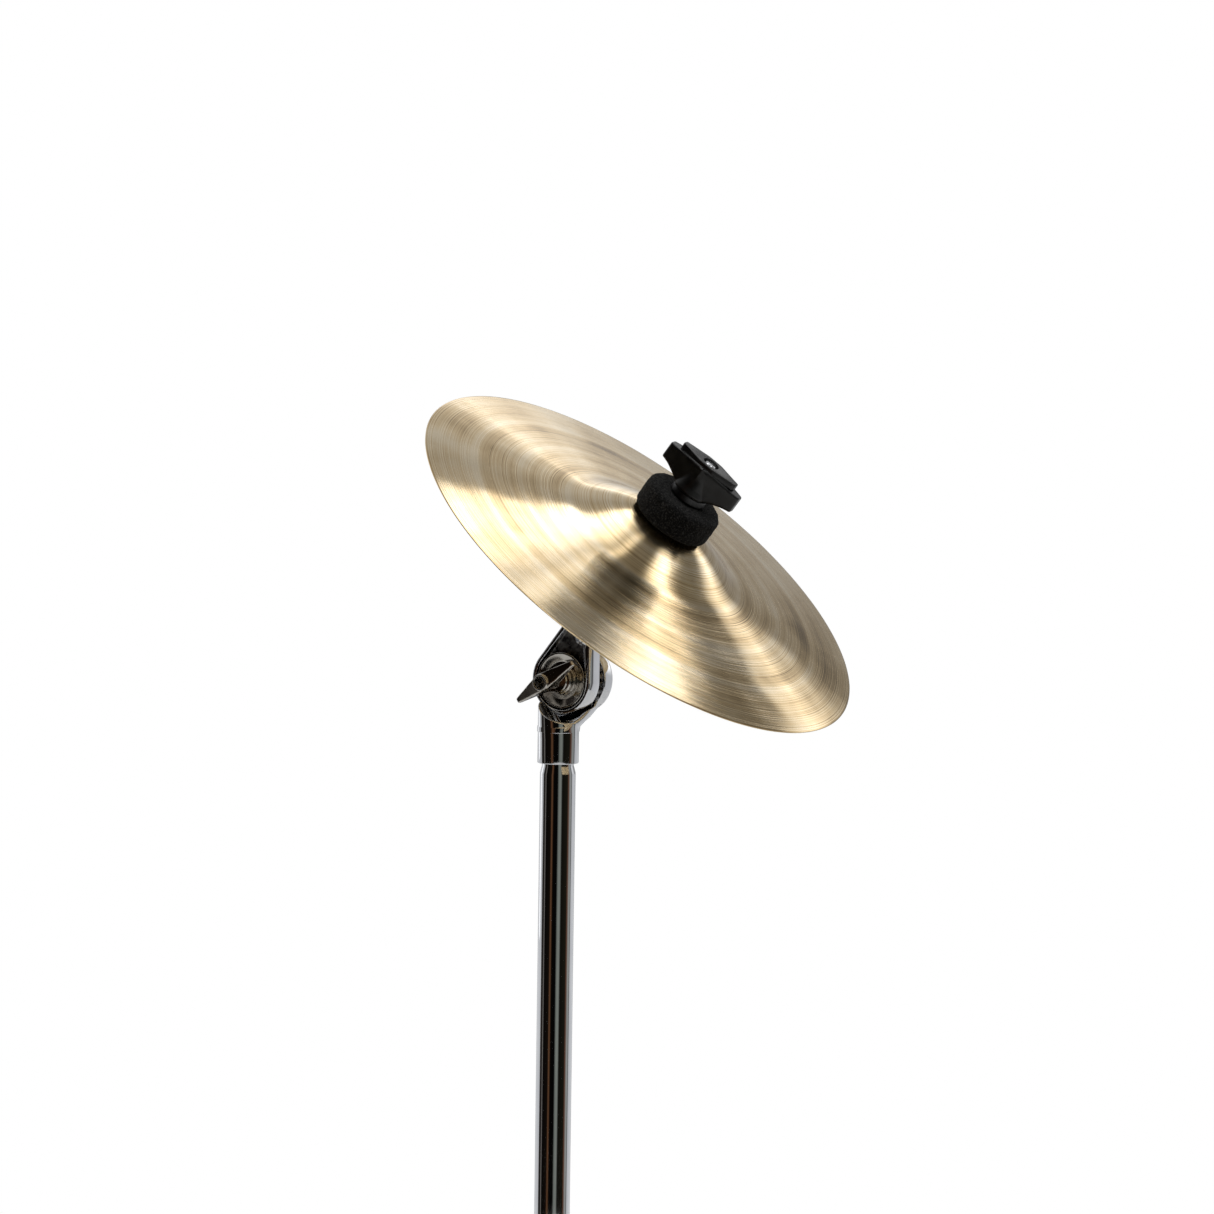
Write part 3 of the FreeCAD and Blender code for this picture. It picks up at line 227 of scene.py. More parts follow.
# %% [markdown]
# ## Building blocks for materials
# One function adds a node with its settings and links. Colours are written as sRGB hex values, the way a
# paint or plating sample is described, and one function turns them to the linear values that Blender mixes.


# %% Colours and nodes
def linear(code):
    """An sRGB hex colour as linear red, green, blue and alpha."""
    parts = [int(code[index:index + 2], 16) / 255 for index in (1, 3, 5)]
    return [part / 12.92 if part <= 0.04045 else ((part + 0.055) / 1.055) ** 2.4 for part in parts] + [1.0]


def add(tree, kind, links=None, stops=None, **settings):
    """Add one node: settings are properties or inputs, links join inputs to sockets, stops fill a ramp."""
    node = tree.nodes.new(kind)
    for name, value in settings.items():
        if hasattr(node, name):
            setattr(node, name, value)
        else:
            node.inputs[name.replace("_", " ")].default_value = value
    for name, source in (links or {}).items():
        if isinstance(source, bpy.types.NodeSocket):
            tree.links.new(source, node.inputs[name])
        else:
            node.inputs[name].default_value = source
    for number, (position, colour) in enumerate(stops or []):
        elements = node.color_ramp.elements
        element = elements[number] if number < len(elements) else elements.new(position)
        element.position = position
        element.color = linear(colour) if isinstance(colour, str) else (colour, colour, colour, 1.0)
    return node


def surface(name, shades, gloss, wear_and_sheen_mm, grain_mm, depth_mm, edge_mm=0.3, **settings):
    """A finish whose tone and gloss follow a noise pattern of wear, which on felt gives painted sheen specks, with
    fine relief and edges that look rounded.
    """
    finish = bpy.data.materials.new(name)
    finish.use_nodes = True
    tree = finish.node_tree
    shader = tree.nodes["Principled BSDF"]
    for setting, value in settings.items():
        shader.inputs[setting.replace("_", " ")].default_value = value
    place = add(tree, "ShaderNodeTexCoord").outputs["Object"]
    wear_and_sheen = add(tree, "ShaderNodeTexNoise", {"Vector": place}, Scale=1 / (wear_and_sheen_mm * MM), Detail=4.0)
    grain = add(tree, "ShaderNodeTexNoise", {"Vector": place}, Scale=1 / (grain_mm * MM), Detail=3.0)
    stops = [(0.35 + 0.3 * index / (len(shades) - 1), shade) for index, shade in enumerate(shades)]
    tone = add(tree, "ShaderNodeValToRGB", {"Fac": wear_and_sheen.outputs["Fac"]}, stops)
    rough = add(tree, "ShaderNodeMapRange", {"Value": wear_and_sheen.outputs["Fac"]}, From_Min=0.3, From_Max=0.7,
                To_Min=gloss[0], To_Max=gloss[1])
    edge = add(tree, "ShaderNodeBevel", samples=4, Radius=edge_mm * MM)
    relief = add(tree, "ShaderNodeBump", {"Height": grain.outputs["Fac"], "Normal": edge.outputs["Normal"]},
                 Distance=depth_mm * MM)
    for setting, socket in (("Base Color", tone.outputs["Color"]), ("Roughness", rough.outputs["Result"]),
                            ("Normal", relief.outputs["Normal"])):
        tree.links.new(socket, shader.inputs[setting])
    return finish


# %% [markdown]
# ### Chrome plating
# Tubes and castings of a stand are nickel plated and then chromed over a polished surface. Chrome is a
# neutral, slightly cool mirror. What the eye reads as chrome is the room in it, so the finish stays plain:
# a faint wave from polishing and a haze of handling a few centimetres across. The floor of a casting keeps
# the skin of its mould, so the plating is dull there, and it is painted dark as painted shade of the
# pocket; the ratchet teeth between the discs get the same painted shade.

# %% Chrome, as polished tube, as casting, and over unpolished zinc in painted shade
CHROME = surface("polished_chrome_plate", ("#D2D3D6", "#DADBDD"), (0.03, 0.06), wear_and_sheen_mm=22, grain_mm=9,
                 depth_mm=0.003, edge_mm=0.35, Metallic=1.0)
CAST_CHROME = surface("chrome_on_zinc_casting", ("#C8C9CC", "#D4D5D7"), (0.035, 0.08), wear_and_sheen_mm=16, grain_mm=7,
                      depth_mm=0.006, edge_mm=0.35, Metallic=1.0)
# The dark shades of this finish are painted shade for pocket floors and teeth; the higher roughness is the dull
# as-cast skin.
AS_CAST_IN_PAINTED_SHADE = surface("plated_zinc_as_cast_painted_shade", ("#4E4D4E", "#8B8987"), (0.22, 0.4), wear_and_sheen_mm=2.4, grain_mm=1.1,
                  depth_mm=0.1, Metallic=1.0)
print("chrome finishes:", CHROME.name, CAST_CHROME.name, AS_CAST_IN_PAINTED_SHADE.name)

# %% [markdown]
# ### Dark nickel and zinc-plated steel
# Wing nuts and wing bolts are zinc castings and the dished washer is pressed steel, all with dark nickel: a
# smooth mirror, but warmer and deeper than chrome, so faces look nearly black and only rounded edges and the
# hollow of a dish light up. Bolts, rivets and the threaded rod are plated steel, a little duller and paler.
# The thread inside the nut is painted nearly black, as painted shade of the hole.

# %% Nickel and steel
NICKEL = surface("dark_nickel_on_zinc", ("#A5A19B", "#B8B4AD"), (0.07, 0.15), wear_and_sheen_mm=9, grain_mm=3,
                 depth_mm=0.004, edge_mm=0.4, Metallic=1.0)
STEEL = surface("zinc_plated_steel", ("#B4B5B8", "#C2C3C5"), (0.16, 0.3), wear_and_sheen_mm=2.0, grain_mm=0.6,
                depth_mm=0.008, edge_mm=0.25, Metallic=1.0)
# Nearly black: painted shade for the thread inside a nut's hole.
THREAD_IN_PAINTED_SHADE = surface("steel_thread_painted_shade", ("#1B1A19", "#2C2A28"), (0.3, 0.5), wear_and_sheen_mm=2.0, grain_mm=0.6,
                depth_mm=0.01, Metallic=1.0)
print("steel finishes:", NICKEL.name, STEEL.name, THREAD_IN_PAINTED_SHADE.name)

# %% [markdown]
# ### Black plastic, nylon, rubber and felt
# The big wing nut is moulded ABS, black with a fine spark-eroded grain that turns highlights grey. Nylon is
# duller. Rubber feet are matt and dusty. Felt is pressed wool: it swallows light, and clumps of fibre,
# drawn about a millimetre wide, get paler specks in their colour, a painted sheen of fibres that stand up.

# %% Plastics, rubber and felt
ABS = surface("moulded_black_abs", ("#040404", "#080808"), (0.28, 0.4), wear_and_sheen_mm=4, grain_mm=0.35,
              depth_mm=0.02, edge_mm=0.5, IOR=1.5)
NYLON = surface("black_nylon", ("#141414", "#191919"), (0.5, 0.65), wear_and_sheen_mm=5, grain_mm=0.5, depth_mm=0.02,
                IOR=1.53)
RUBBER = surface("moulded_black_rubber", ("#191919", "#1F1F1E"), (0.62, 0.8), wear_and_sheen_mm=6, grain_mm=0.7,
                 depth_mm=0.05, IOR=1.52)
# The two paler shades are painted sheen: specks where standing fibres would catch the light.
FELT = surface("black_wool_felt_painted_sheen", ("#030303", "#070707", "#181817", "#3A3938"), (0.9, 1.0),
               wear_and_sheen_mm=0.8, grain_mm=0.5, depth_mm=0.6, edge_mm=0.05, Sheen_Weight=0.06, Sheen_Roughness=0.6)
FELT.node_tree.nodes["Principled BSDF"].inputs["Specular IOR Level"].default_value = 0.06
print("soft and moulded finishes:", ABS.name, NYLON.name, RUBBER.name, FELT.name)

# %% [markdown]
# ### Lathed bronze
# A cymbal is cast bronze with a fifth of tin, rolled, hammered and then shaved on a lathe. The tool leaves
# concentric grooves a few tenths of a millimetre apart, drawn 0.6 mm wide so that they show. They bend each
# highlight into a fan that runs from the bell to the rim, so the shader is anisotropic with its direction
# taken round the cymbal's own axis, and the grooves themselves are a ring pattern of changing width on top.
# Wider rings and a soft cloud of tarnish change the tone.


# %% Bronze
def lathed_bronze(groove_mm=0.6, band_mm=9, cloud_mm=45, depth_mm=0.11):
    """Ring patterns are noise along the radius alone; the tangent runs round the cymbal's axis."""
    finish = bpy.data.materials.new("lathed_b20_bronze")
    finish.use_nodes = True
    tree = finish.node_tree
    shader = tree.nodes["Principled BSDF"]
    for setting, value in (("Metallic", 1.0), ("Anisotropic", 0.96), ("Anisotropic Rotation", 0.25)):
        shader.inputs[setting].default_value = value
    place = add(tree, "ShaderNodeTexCoord").outputs["Object"]
    flat = add(tree, "ShaderNodeVectorMath", {0: place, 1: (1, 1, 0)}, operation="MULTIPLY")
    radius = add(tree, "ShaderNodeVectorMath", {0: flat.outputs["Vector"]}, operation="LENGTH")
    along = add(tree, "ShaderNodeCombineXYZ", {"X": radius.outputs["Value"]}).outputs["Vector"]
    grooves = add(tree, "ShaderNodeTexNoise", {"Vector": along}, Scale=1 / (groove_mm * MM), Detail=2.0)
    bands = add(tree, "ShaderNodeTexNoise", {"Vector": along}, Scale=1 / (band_mm * MM), Detail=2.0)
    cloud = add(tree, "ShaderNodeTexNoise", {"Vector": place}, Scale=1 / (cloud_mm * MM), Detail=3.0)
    mixed = add(tree, "ShaderNodeMath", {0: bands.outputs["Fac"], 1: cloud.outputs["Fac"]}, operation="ADD")
    tone = add(tree, "ShaderNodeMath", {0: mixed.outputs["Value"], 1: 0.5}, operation="MULTIPLY")
    lined = add(tree, "ShaderNodeMath", {0: grooves.outputs["Fac"], 1: 0.6, 2: tone.outputs["Value"]},
                operation="MULTIPLY_ADD")
    colour = add(tree, "ShaderNodeValToRGB", {"Fac": lined.outputs["Value"]},
                 [(0.64, "#86704C"), (0.73, "#CBB083"), (0.80, "#DEC69C"), (0.92, "#F0DFC0")])
    rough = add(tree, "ShaderNodeMapRange", {"Value": grooves.outputs["Fac"]}, From_Min=0.3, From_Max=0.7,
                To_Min=0.085, To_Max=0.12)
    around = add(tree, "ShaderNodeTangent", direction_type="RADIAL", axis="Z")
    relief = add(tree, "ShaderNodeBump", {"Height": grooves.outputs["Fac"]}, Distance=depth_mm * MM)
    for setting, socket in (("Base Color", colour.outputs["Color"]), ("Roughness", rough.outputs["Result"]),
                            ("Tangent", around.outputs["Tangent"]), ("Normal", relief.outputs["Normal"])):
        tree.links.new(socket, shader.inputs[setting])
    return finish


BRONZE = lathed_bronze()
FINISHES = {"chrome_plate": CHROME, "nickel_casting": NICKEL, "fastener_steel": STEEL,
            "cymbal_bronze": BRONZE, "black_felt": FELT, "black_plastic": ABS, "nylon": NYLON,
            "black_rubber": RUBBER}
print("one finish for each of", len(FINISHES), "slots")

# %% [markdown]
# ## Finishing the nodes that stay
# Many CAD pieces already have the right shape: tubes, strips, pins and clamps. They keep their mesh and only
# get a finish, chosen by the material slot that the record gives them. Pieces drawn again below take over
# from their node later.

# %% Finish for every CAD node
SLOT_OF = {part["node"]: part["material_slot"] for part in frame["record"]["subparts"]}
BODY_OF = {node: body for body, nodes in frame["record"]["behaviour"]["bodies"].items() for node in nodes}


def finish_node(node, finish):
    """Give a CAD node one finish in every slot of its mesh."""
    slots = frame["nodes"][node].data.materials
    slots.clear()
    slots.append(finish)


for node_name, slot_name in SLOT_OF.items():
    finish_node(node_name, FINISHES[slot_name])
for casting in ("height_clamp", "leg_collar", "bottom_collar", "memory_lock", "boom_tilter_base",
                "boom_tilter_clamp"):
    finish_node(casting, CAST_CHROME)
print("finished", len(SLOT_OF), "nodes")


def detail(obj, node, *finishes):
    """Let a detail ride with a node's body, in its own finishes."""
    for finish in finishes:
        obj.data.materials.append(finish)
    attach(obj, BODY_OF[node])
    print(obj.name, "has", len(obj.data.vertices), "vertices")
    return obj


def piece(obj, node, *finishes):
    """Let a piece take over from its node: same body, its own finishes."""
    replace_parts(detail(obj, node, *finishes), node)


# %% [markdown]
# ## The cymbal
# A cymbal is one thin shell of revolution: a domed bell, a quick bend, and a long shallow bow that ends in a
# thin rim. A lathe profile is the honest way to make it. The profile below is the same curve as the CAD
# node's, with many more rings, a wall that thins towards the rim, and low waves left by hammering.

# %% Cymbal
CYMBAL_RADIUS, CYMBAL_HEIGHT, BOW_HEIGHT = 127.0, 26.2, 14.0
BELL_CURVE, BELL_BLEND, HOLE_RADIUS = 73.0, 1.6, 6.0
WALL_AT_HOLE, WALL_AT_RIM, RIM_ROUND = 0.9, 0.55, 0.15
HAMMER_MARK, HAMMER_DEPTH = 16, 0.06


def upper_height(radius):
    """Height of the upper face over the rim's plane: a domed bell that blends into a shallow bow."""
    bow = BOW_HEIGHT * (1 - (radius / CYMBAL_RADIUS) ** 1.5)
    dome = CYMBAL_HEIGHT - radius ** 2 / (2 * BELL_CURVE)
    centre_rise = BELL_BLEND ** 2 / (CYMBAL_HEIGHT - BOW_HEIGHT)
    fade = 1 - (radius / CYMBAL_RADIUS) ** 2
    return (bow + dome) / 2 + math.hypot((bow - dome) / 2, BELL_BLEND * fade) - centre_rise * fade


def cymbal(rings=150, segments=288):
    radii = [HOLE_RADIUS + (CYMBAL_RADIUS - HOLE_RADIUS) * ring / rings for ring in range(rings + 1)]
    wall = [WALL_AT_HOLE + (WALL_AT_RIM - WALL_AT_HOLE) * radius / CYMBAL_RADIUS for radius in radii]
    top = [(radius, EDGE_FROM_PIVOT + upper_height(radius)) for radius in radii]
    under = [(radius, height - thick) for (radius, height), thick in zip(top, wall)]
    rim_height = (top[-1][1] + under[-1][1]) / 2
    inside_rim = CYMBAL_RADIUS - RIM_ROUND
    profile = top[:-1] + [(inside_rim, top[-1][1]), (CYMBAL_RADIUS, rim_height),
                          (inside_rim, under[-1][1])] + under[-2::-1]
    loops = [circle(radius, height, segments) for radius, height in profile]
    vertices, faces = bridged(loops, closed_along=True)
    hammered = []
    for x, y, z in vertices:
        hammered.append((x, y, z + HAMMER_DEPTH * noise.noise(Vector((x, y, 0)) / HAMMER_MARK)))
    return mesh_object("cymbal_shell", hammered, faces, ROD, 60)


piece(cymbal(), "cymbal", BRONZE)

# %% [markdown]
# ## The felts
# A felt washer is punched from a thick pressed sheet, so its edges are soft and its faces a little uneven.
# Here the ring is turned with rounded edges and a dense mesh, and every point is then pushed in or out by
# three sizes of noise: two for lumps from the press, and a fine one for fibres that break the outline. The
# upper felt is squeezed by its nut, so it bulges a little past its cut size.


# %% Felts
LUMPS = ((5, 0.3), (1.8, 0.22))
FIBRE_SIZE, FIBRE_LIFT, FELT_PRESSED = 0.7, 0.45, 0.1


def felt_ring(node, corners):
    """A dense turned ring, roughened point by point along its own surface direction."""
    profile = resampled(rounded(corners, True, 6), 150)
    loops = [circle(radius, height, 300) for radius, height in profile]
    vertices, faces = bridged(loops, closed_along=True)
    ring = mesh_object(node + "_wool", vertices, faces, ROD, 180)
    outward = [vertex.normal.copy() for vertex in ring.data.vertices]
    for vertex, normal in zip(ring.data.vertices, outward):
        spot = vertex.co / MM
        lumps = sum(noise.noise(spot / size) * lift for size, lift in LUMPS)
        fibres = abs(noise.noise(spot / FIBRE_SIZE)) * FIBRE_LIFT
        vertex.co += normal * (lumps + fibres - FELT_PRESSED) * MM
    piece(ring, node, FELT)


BELL_TOP = EDGE_FROM_PIVOT + CYMBAL_HEIGHT
FELT_RADIUS, FELT_INNER, FELT_ROUND, FELT_SPREAD = 20.0, 5.8, 2.5, 0.7
UPPER_THICK, LOWER_THICK, FELT_GAP = 16.0, 10.0, 0.3
UPPER_LOW = BELL_TOP - (FELT_RADIUS - FELT_ROUND) ** 2 / (2 * BELL_CURVE)
UPPER_HIGH = UPPER_LOW + UPPER_THICK
UPPER_RADIUS, LOWER_RADIUS = FELT_RADIUS + FELT_SPREAD, FELT_RADIUS - 3
LOWER_HIGH = BELL_TOP - WALL_AT_HOLE - FELT_GAP - LOWER_RADIUS ** 2 / (2 * BELL_CURVE)
LOWER_LOW = LOWER_HIGH - LOWER_THICK
felt_ring("upper_felt", [
    (FELT_INNER, BELL_TOP + 0.9, 0.6), (UPPER_RADIUS, UPPER_LOW + 0.5, 2.6), (UPPER_RADIUS, UPPER_HIGH, 3.6),
    (FELT_INNER, UPPER_HIGH, 1.0)])
felt_ring("lower_felt", [
    (FELT_INNER, LOWER_LOW + 0.1, 0.6), (LOWER_RADIUS, LOWER_LOW + 0.1, 2.6),
    (LOWER_RADIUS, LOWER_HIGH - 0.1, 2.8), (FELT_INNER, LOWER_HIGH - 0.1, 1.0)])

# %% [markdown]
# ## Wings
# Every wing nut and wing bolt here has the same family of shape. Seen from the front it is a long diamond,
# seen from the side each wing sweeps up from a conical hub and ends in a short flat tip. Sections along the
# span are rounded rectangles whose width and height change, and the stack of them is the pair of wings.


# %% Wing sections
def section(x, low, high, half_width, corner, wall):
    """A rounded rectangle across the span at x, from low to high, clear of the hole's wall."""
    box_corners = [(-half_width, low), (half_width, low), (half_width, high), (-half_width, high)]
    radius = min(corner, half_width * 0.9, (high - low) * 0.45)
    outline = resampled(rounded([(a, b, radius) for a, b in box_corners], True, 4), 56)
    return [(max(x, math.sqrt(max(wall ** 2 - a ** 2, 0))), a, b) for a, b in outline]


def wings(name, matrix, span, half_width, front, tip_front, tip_back, root_back, wall=0.0, corner=0.7,
          sweep=1.6, tip_width=0.3, lowest=-math.inf):
    """Both wings about Z, lofted from the wall of the hole to rounded tips; sweep lifts the underside."""
    loops, steps = [], 22
    for index in range(steps + 1):
        share = index / steps
        high = front + (tip_front - front) * share
        low = max(root_back + (tip_back - root_back) * (1 - (1 - share) ** sweep), lowest)
        width = half_width * (1 - (1 - tip_width) * share)
        loops.append(section(span * share, low, high, width, corner, wall))
    last = loops[-1]
    centre = [sum(point[axis] for point in last) / len(last) for axis in (1, 2)]
    for back, shrink in ((0.0, 0.8), (-0.06, 0.45)):
        loops.append([(span - back * corner, centre[0] + (a - centre[0]) * shrink,
                       centre[1] + (b - centre[1]) * (1 - (1 - shrink) * 0.4)) for _, a, b in last])
    loops[-3] = [(span - 0.5 * corner, a, b) for _, a, b in last]
    vertices, faces = bridged(loops)
    count = len(vertices)
    vertices += [(-x, -a, b) for x, a, b in vertices]
    faces += [tuple(count + index for index in face) for face in faces]
    return mesh_object(name, vertices, faces, matrix, 50)


print("a wing section has", len(section(0, 0, 5, 2, 0.7, 0)), "points")

# %% [markdown]
# ## The big moulded wing nut
# It presses on the upper felt with a collar, steps out to a narrow flange, and swells into wings under a
# raised diamond plate. The hole goes right through, and the end of the rod shines in it. The plate with its
# hole is a ring of quads between a diamond outline and a circle, both cut into the same number of points.


# %% Cymbal wing nut
def plate_with_hole(name, outline, hole, low, high, matrix, count=96, edge=0.5):
    """A plate with rounded edges between two heights, with a round hole in the middle."""
    outer = resampled(outline, count)
    start = math.atan2(outer[0][1], outer[0][0])
    turns = [start + 2 * math.pi * index / count for index in range(count)]
    inner = [(hole * math.cos(turn), hole * math.sin(turn)) for turn in turns]
    wider = inset(inner, -edge)
    layers = [(inner, low), (outer, low), (outer, high - edge), (inset(outer, edge * 0.3), high - edge * 0.3),
              (inset(outer, edge), high), (wider, high), (inset(inner, -edge * 0.3), high - edge * 0.3),
              (inner, high - edge)]
    loops = [[(a, b, height) for a, b in layer] for layer, height in layers]
    vertices, faces = bridged(loops, closed_along=True)
    return mesh_object(name, vertices, faces, matrix, 50)


NUT_HEIGHT, NUT_TURN = 22.4, 12
NUT = shifted(ROD, z=UPPER_HIGH) @ Matrix.Rotation(math.radians(NUT_TURN), 4, "Z")


def cymbal_wing_nut():
    body = lathe("nut_collar", [
        (4.1, 0.1, 0.2), (9.2, 0.1, 0.6), (9.8, 1.2, 0.8), (9.4, 4.6, 1.0), (10.3, 5.0, 0.3),
        (10.4, 5.9, 0.4), (9.4, 8.6, 2.0), (8.2, 14.0, 2.0), (7.6, 19.0, 0.5), (4.1, 19.0, 0.0)], NUT)
    blades = wings("nut_blades", NUT, 22.2, 8.4, 20.4, 18.3, 9.4, -1.0, wall=6.0, corner=0.8, sweep=1.72,
                   lowest=2.0)
    diamond = rounded([(-17, -2, 1.2), (-4, -6.6, 4), (4, -6.6, 4), (17, -2, 1.2), (17, 2, 1.2), (4, 6.6, 4),
                       (-4, 6.6, 4), (-17, 2, 1.2)])
    top = plate_with_hole("nut_plate", diamond, 4.25, 19.2, NUT_HEIGHT, NUT)
    return joined("cymbal_nut_moulding", body, blades, top)


piece(cymbal_wing_nut(), "cymbal_wing_nut", ABS)

# %% [markdown]
# ## Die-cast wing nut and wing bolts
# The small wing nuts and bolts share one pattern: a stepped conical hub with swept wings. Casting leaves a
# raised rim round the hole, and tumbling rounds every edge. The bolts are the same casting on a steel shank.


# %% Small wing nuts and bolts
TILTER_NUT_TURN = 32.8


def wing_nut(node, matrix, seat, front, span, hole=3.05):
    """A cast nut with a hole right through, standing on its seat."""
    hub = lathe(node + "_hub", [
        (hole, seat, 0.2), (6.9, seat, 0.4), (6.9, seat + 1.8, 0.5), (6.2, seat + 2.2, 0.3),
        (6.0, seat + 4.2, 0.5),
        (5.5, seat + 4.6, 0.3), (4.9, front - 7, 2.0), (4.4, front - 2.2, 0.5), (4.3, front - 0.5, 0.3),
        (4.1, front, 0.45), (hole + 0.3, front, 0.3), (hole, front - 1, 0.3), (hole, front - 2, 0)], matrix)
    blades = wings(node + "_blades", matrix, span, 4.6, front - 0.7, front - 4.2, front - 6.6, front - 10.7,
                   wall=3.7, corner=0.6, sweep=1.3)
    piece(joined(node + "_casting", hub, blades), node, NICKEL)


def nut_thread(node, matrix, low, high, crest=2.62, root=2.95, pitch=1.0):
    """Thread turns inside the front of a nut's hole, painted nearly black as the hole's shade."""
    turns = int((high - low) / pitch)
    corners = [(3.03, low, 0)]
    for number in range(turns):
        corners += [(root, low + pitch * number, 0), (crest, low + pitch * (number + 0.5), 0.1)]
    corners += [(root, low + pitch * turns, 0), (3.03, high, 0)]
    detail(lathe(node + "_thread", [corners[0]] + corners[:0:-1], matrix, segments=48, steps=2), node, THREAD_IN_PAINTED_SHADE)


def wing_bolt(node, matrix, shank_length):
    """The bolt's head stands on Z = 0; its threaded shank goes down into the clamp."""
    hub = lathe(node + "_hub", [
        (0, 0.3, 0), (6.6, 0.3, 0.4), (6.6, 2.0, 0.5), (5.7, 2.6, 0.4), (5.0, 8, 2), (4.5, 14, 0.5),
        (4.5, 17.0, 1.2), (0, 17.0, 0)], matrix, closed=False)
    blades = wings(node + "_blades", matrix, 18.0, 4.5, 16.6, 15.8, 9.5, 4.0, corner=0.8, sweep=1.5)
    shank = lathe(node + "_shank", [(0, 1, 0), (3.0, 1, 0), (3.0, -shank_length, 0.4), (0, -shank_length, 0)],
                  matrix, closed=False, segments=48)
    piece(joined(node + "_casting", hub, blades, shank), node, NICKEL)


def on_joint(name, along, across=(0, 0, 1), turn=0.0):
    """A system at a joint's point, looking along a direction, turned by degrees about it."""
    return system(JOINTS[name]["pos_m"], along, across) @ Matrix.Rotation(math.radians(turn), 4, "Z")


def tilter_bolt():
    """The hinge bolt ends deep inside the wing nut, so the nut's hole stays dark."""
    return lathe("tilter_hinge_bolt", [
        (0, -11.0, 0), (2.4, -11.0, 0), (2.95, -10.4, 0), (2.95, 20.5, 0), (5.2, 20.6, 0.2),
        (5.2, 23.4, 0.8), (0, 23.4, 0)], HINGE @ BACKWARD, closed=False)


piece(tilter_bolt(), "cymbal_tilter_bolt", STEEL)
TILTER_SEAT = on_joint("tilter_nut_turn", (0, -1, 0))
TILTER_NUT = on_joint("tilter_nut_turn", (0, -1, 0), turn=TILTER_NUT_TURN)
wing_nut("cymbal_tilter_wing_nut", TILTER_NUT, 1.8, 22.2, 19.4)
nut_thread("cymbal_tilter_wing_nut", TILTER_SEAT, 16.0, 21.6)
wing_nut("boom_tilter_wing_nut", on_joint("boom_nut_turn", (0, 1, 0)), 1.8, 21.0, 20.0)
wing_bolt("boom_clamp_wing_bolt", on_joint("boom_bolt_turn", (0, -1, 0)), 10.55)
wing_bolt("height_wing_bolt", on_joint("height_bolt_turn", (0, 1, 0)), 12.65)
wing_bolt("leg_collar_wing_bolt", on_joint("leg_collar_bolt_turn", (-1, 0, 0), (0, 1, 0)), 11.0)

# %% [markdown]
# ## The dished washer
# Under the nut lies a pressed washer. Its rim is turned up like a saucer, so it catches light on the far
# side of its dish. A lathe profile with a small radius at each bend is all it takes.

# %% Dished washer
washer = lathe("dished_washer", [
    (3.05, 0.3, 0.1), (9.3, 0.3, 1.5), (14.3, 1.8, 0.3), (14.3, 2.75, 0.4), (13.4, 2.7, 0.5), (9.6, 1.0, 3.0),
    (7.4, 0.9, 0.4), (7.2, 1.5, 0.2), (3.05, 1.5, 0.1)], TILTER_SEAT, segments=144, steps=10)
piece(washer, "cymbal_tilter_washer", NICKEL)

# %% [markdown]
# ## The tilter's arm
# The arm is a zinc casting: a round hub whose rim runs on into an arm for the rod. The front has a pocket
# with a thin rim round it, the way die castings save metal. Its outline is one closed line, an arc of the
# hub and straight sides with rounded corners, and the layers of the stack follow it from the back edge over
# the rim down into the pocket. The pocket has its own outline, met by rays from one inner point so that both
# outlines have matching points.


# %% Tilter arm
HUB_RADIUS, HUB_FRONT, HUB_BACK = 17.5, -1.2, -11.2
ARM_FACE = ARM @ FRONTWARD


def hub_and_arm():
    """The outline of hub and arm, counter-clockwise, with the rod's direction up."""
    arc = [(HUB_RADIUS * math.cos(turn), HUB_RADIUS * math.sin(turn), 0)
           for turn in (math.radians(180 + 219.4 * step / 60) for step in range(61))]
    return rounded(arc[1:-1] + [(13.5, 11.1, 0), (1.7, 25.5, 5.0), (1.7, 33.0, 0.8), (-13.3, 33.0, 1.0),
                                (-17.5, 26.0, 5.0), (-17.5, 6.0, 0)], True, 6)


def pocket():
    """The pocket inside the rim."""
    radius = HUB_RADIUS - 2.2
    arc = [(radius * math.cos(turn), radius * math.sin(turn), 0)
           for turn in (math.radians(180 + 214 * step / 60) for step in range(61))]
    return rounded(arc[1:-1] + [(11.6, 9.9, 1.0), (-1.6, 23.0, 2.5), (-3.9, 24.6, 1.2), (-14.9, 24.6, 1.6),
                                (-15.2, 5.0, 0)], True, 6)


def along_rays(points, centre, targets):
    """For each target point, the point of a closed outline in the same direction from the centre."""
    centre = Vector(centre)
    edges = [(Vector(a) - centre, Vector(b) - centre) for a, b in zip(points, points[1:] + points[:1])]
    found = []
    for target in targets:
        ray = (Vector(target) - centre).normalized()
        best = 0.0
        for start, end in edges:
            side = end - start
            across = ray.x * side.y - ray.y * side.x
            if abs(across) < 1e-9:
                continue
            along = (start.x * side.y - start.y * side.x) / across
            share = (start.x * ray.y - start.y * ray.x) / across
            if -1e-6 <= share <= 1 + 1e-6 and along > best:
                best = along
        found.append(tuple(centre + ray * best))
    return found


def tooth_ring(name, matrix, low, high, inner=11.0, outer=16.0, count=24, steep=1.6, blunt=0.3):
    """Radial ratchet teeth standing up from low; their tips are blunt."""
    loops, per_tooth = [], 8
    for radius, lift in ((inner, 0), (inner + 0.2, 1), (outer - 0.2, 1), (outer, 0)):
        loop = []
        for index in range(count * per_tooth):
            turn = 2 * math.pi * index / (count * per_tooth)
            phase = abs((index % per_tooth) / per_tooth * 2 - 1)
            height = low + lift * (high - low) * min(max(phase * steep - blunt, 0), 1)
            loop.append((radius * math.cos(turn), radius * math.sin(turn), height))
        loops.append(loop)
    vertices, faces = bridged(loops, caps=False)
    return mesh_object(name, vertices, faces, matrix, 30)


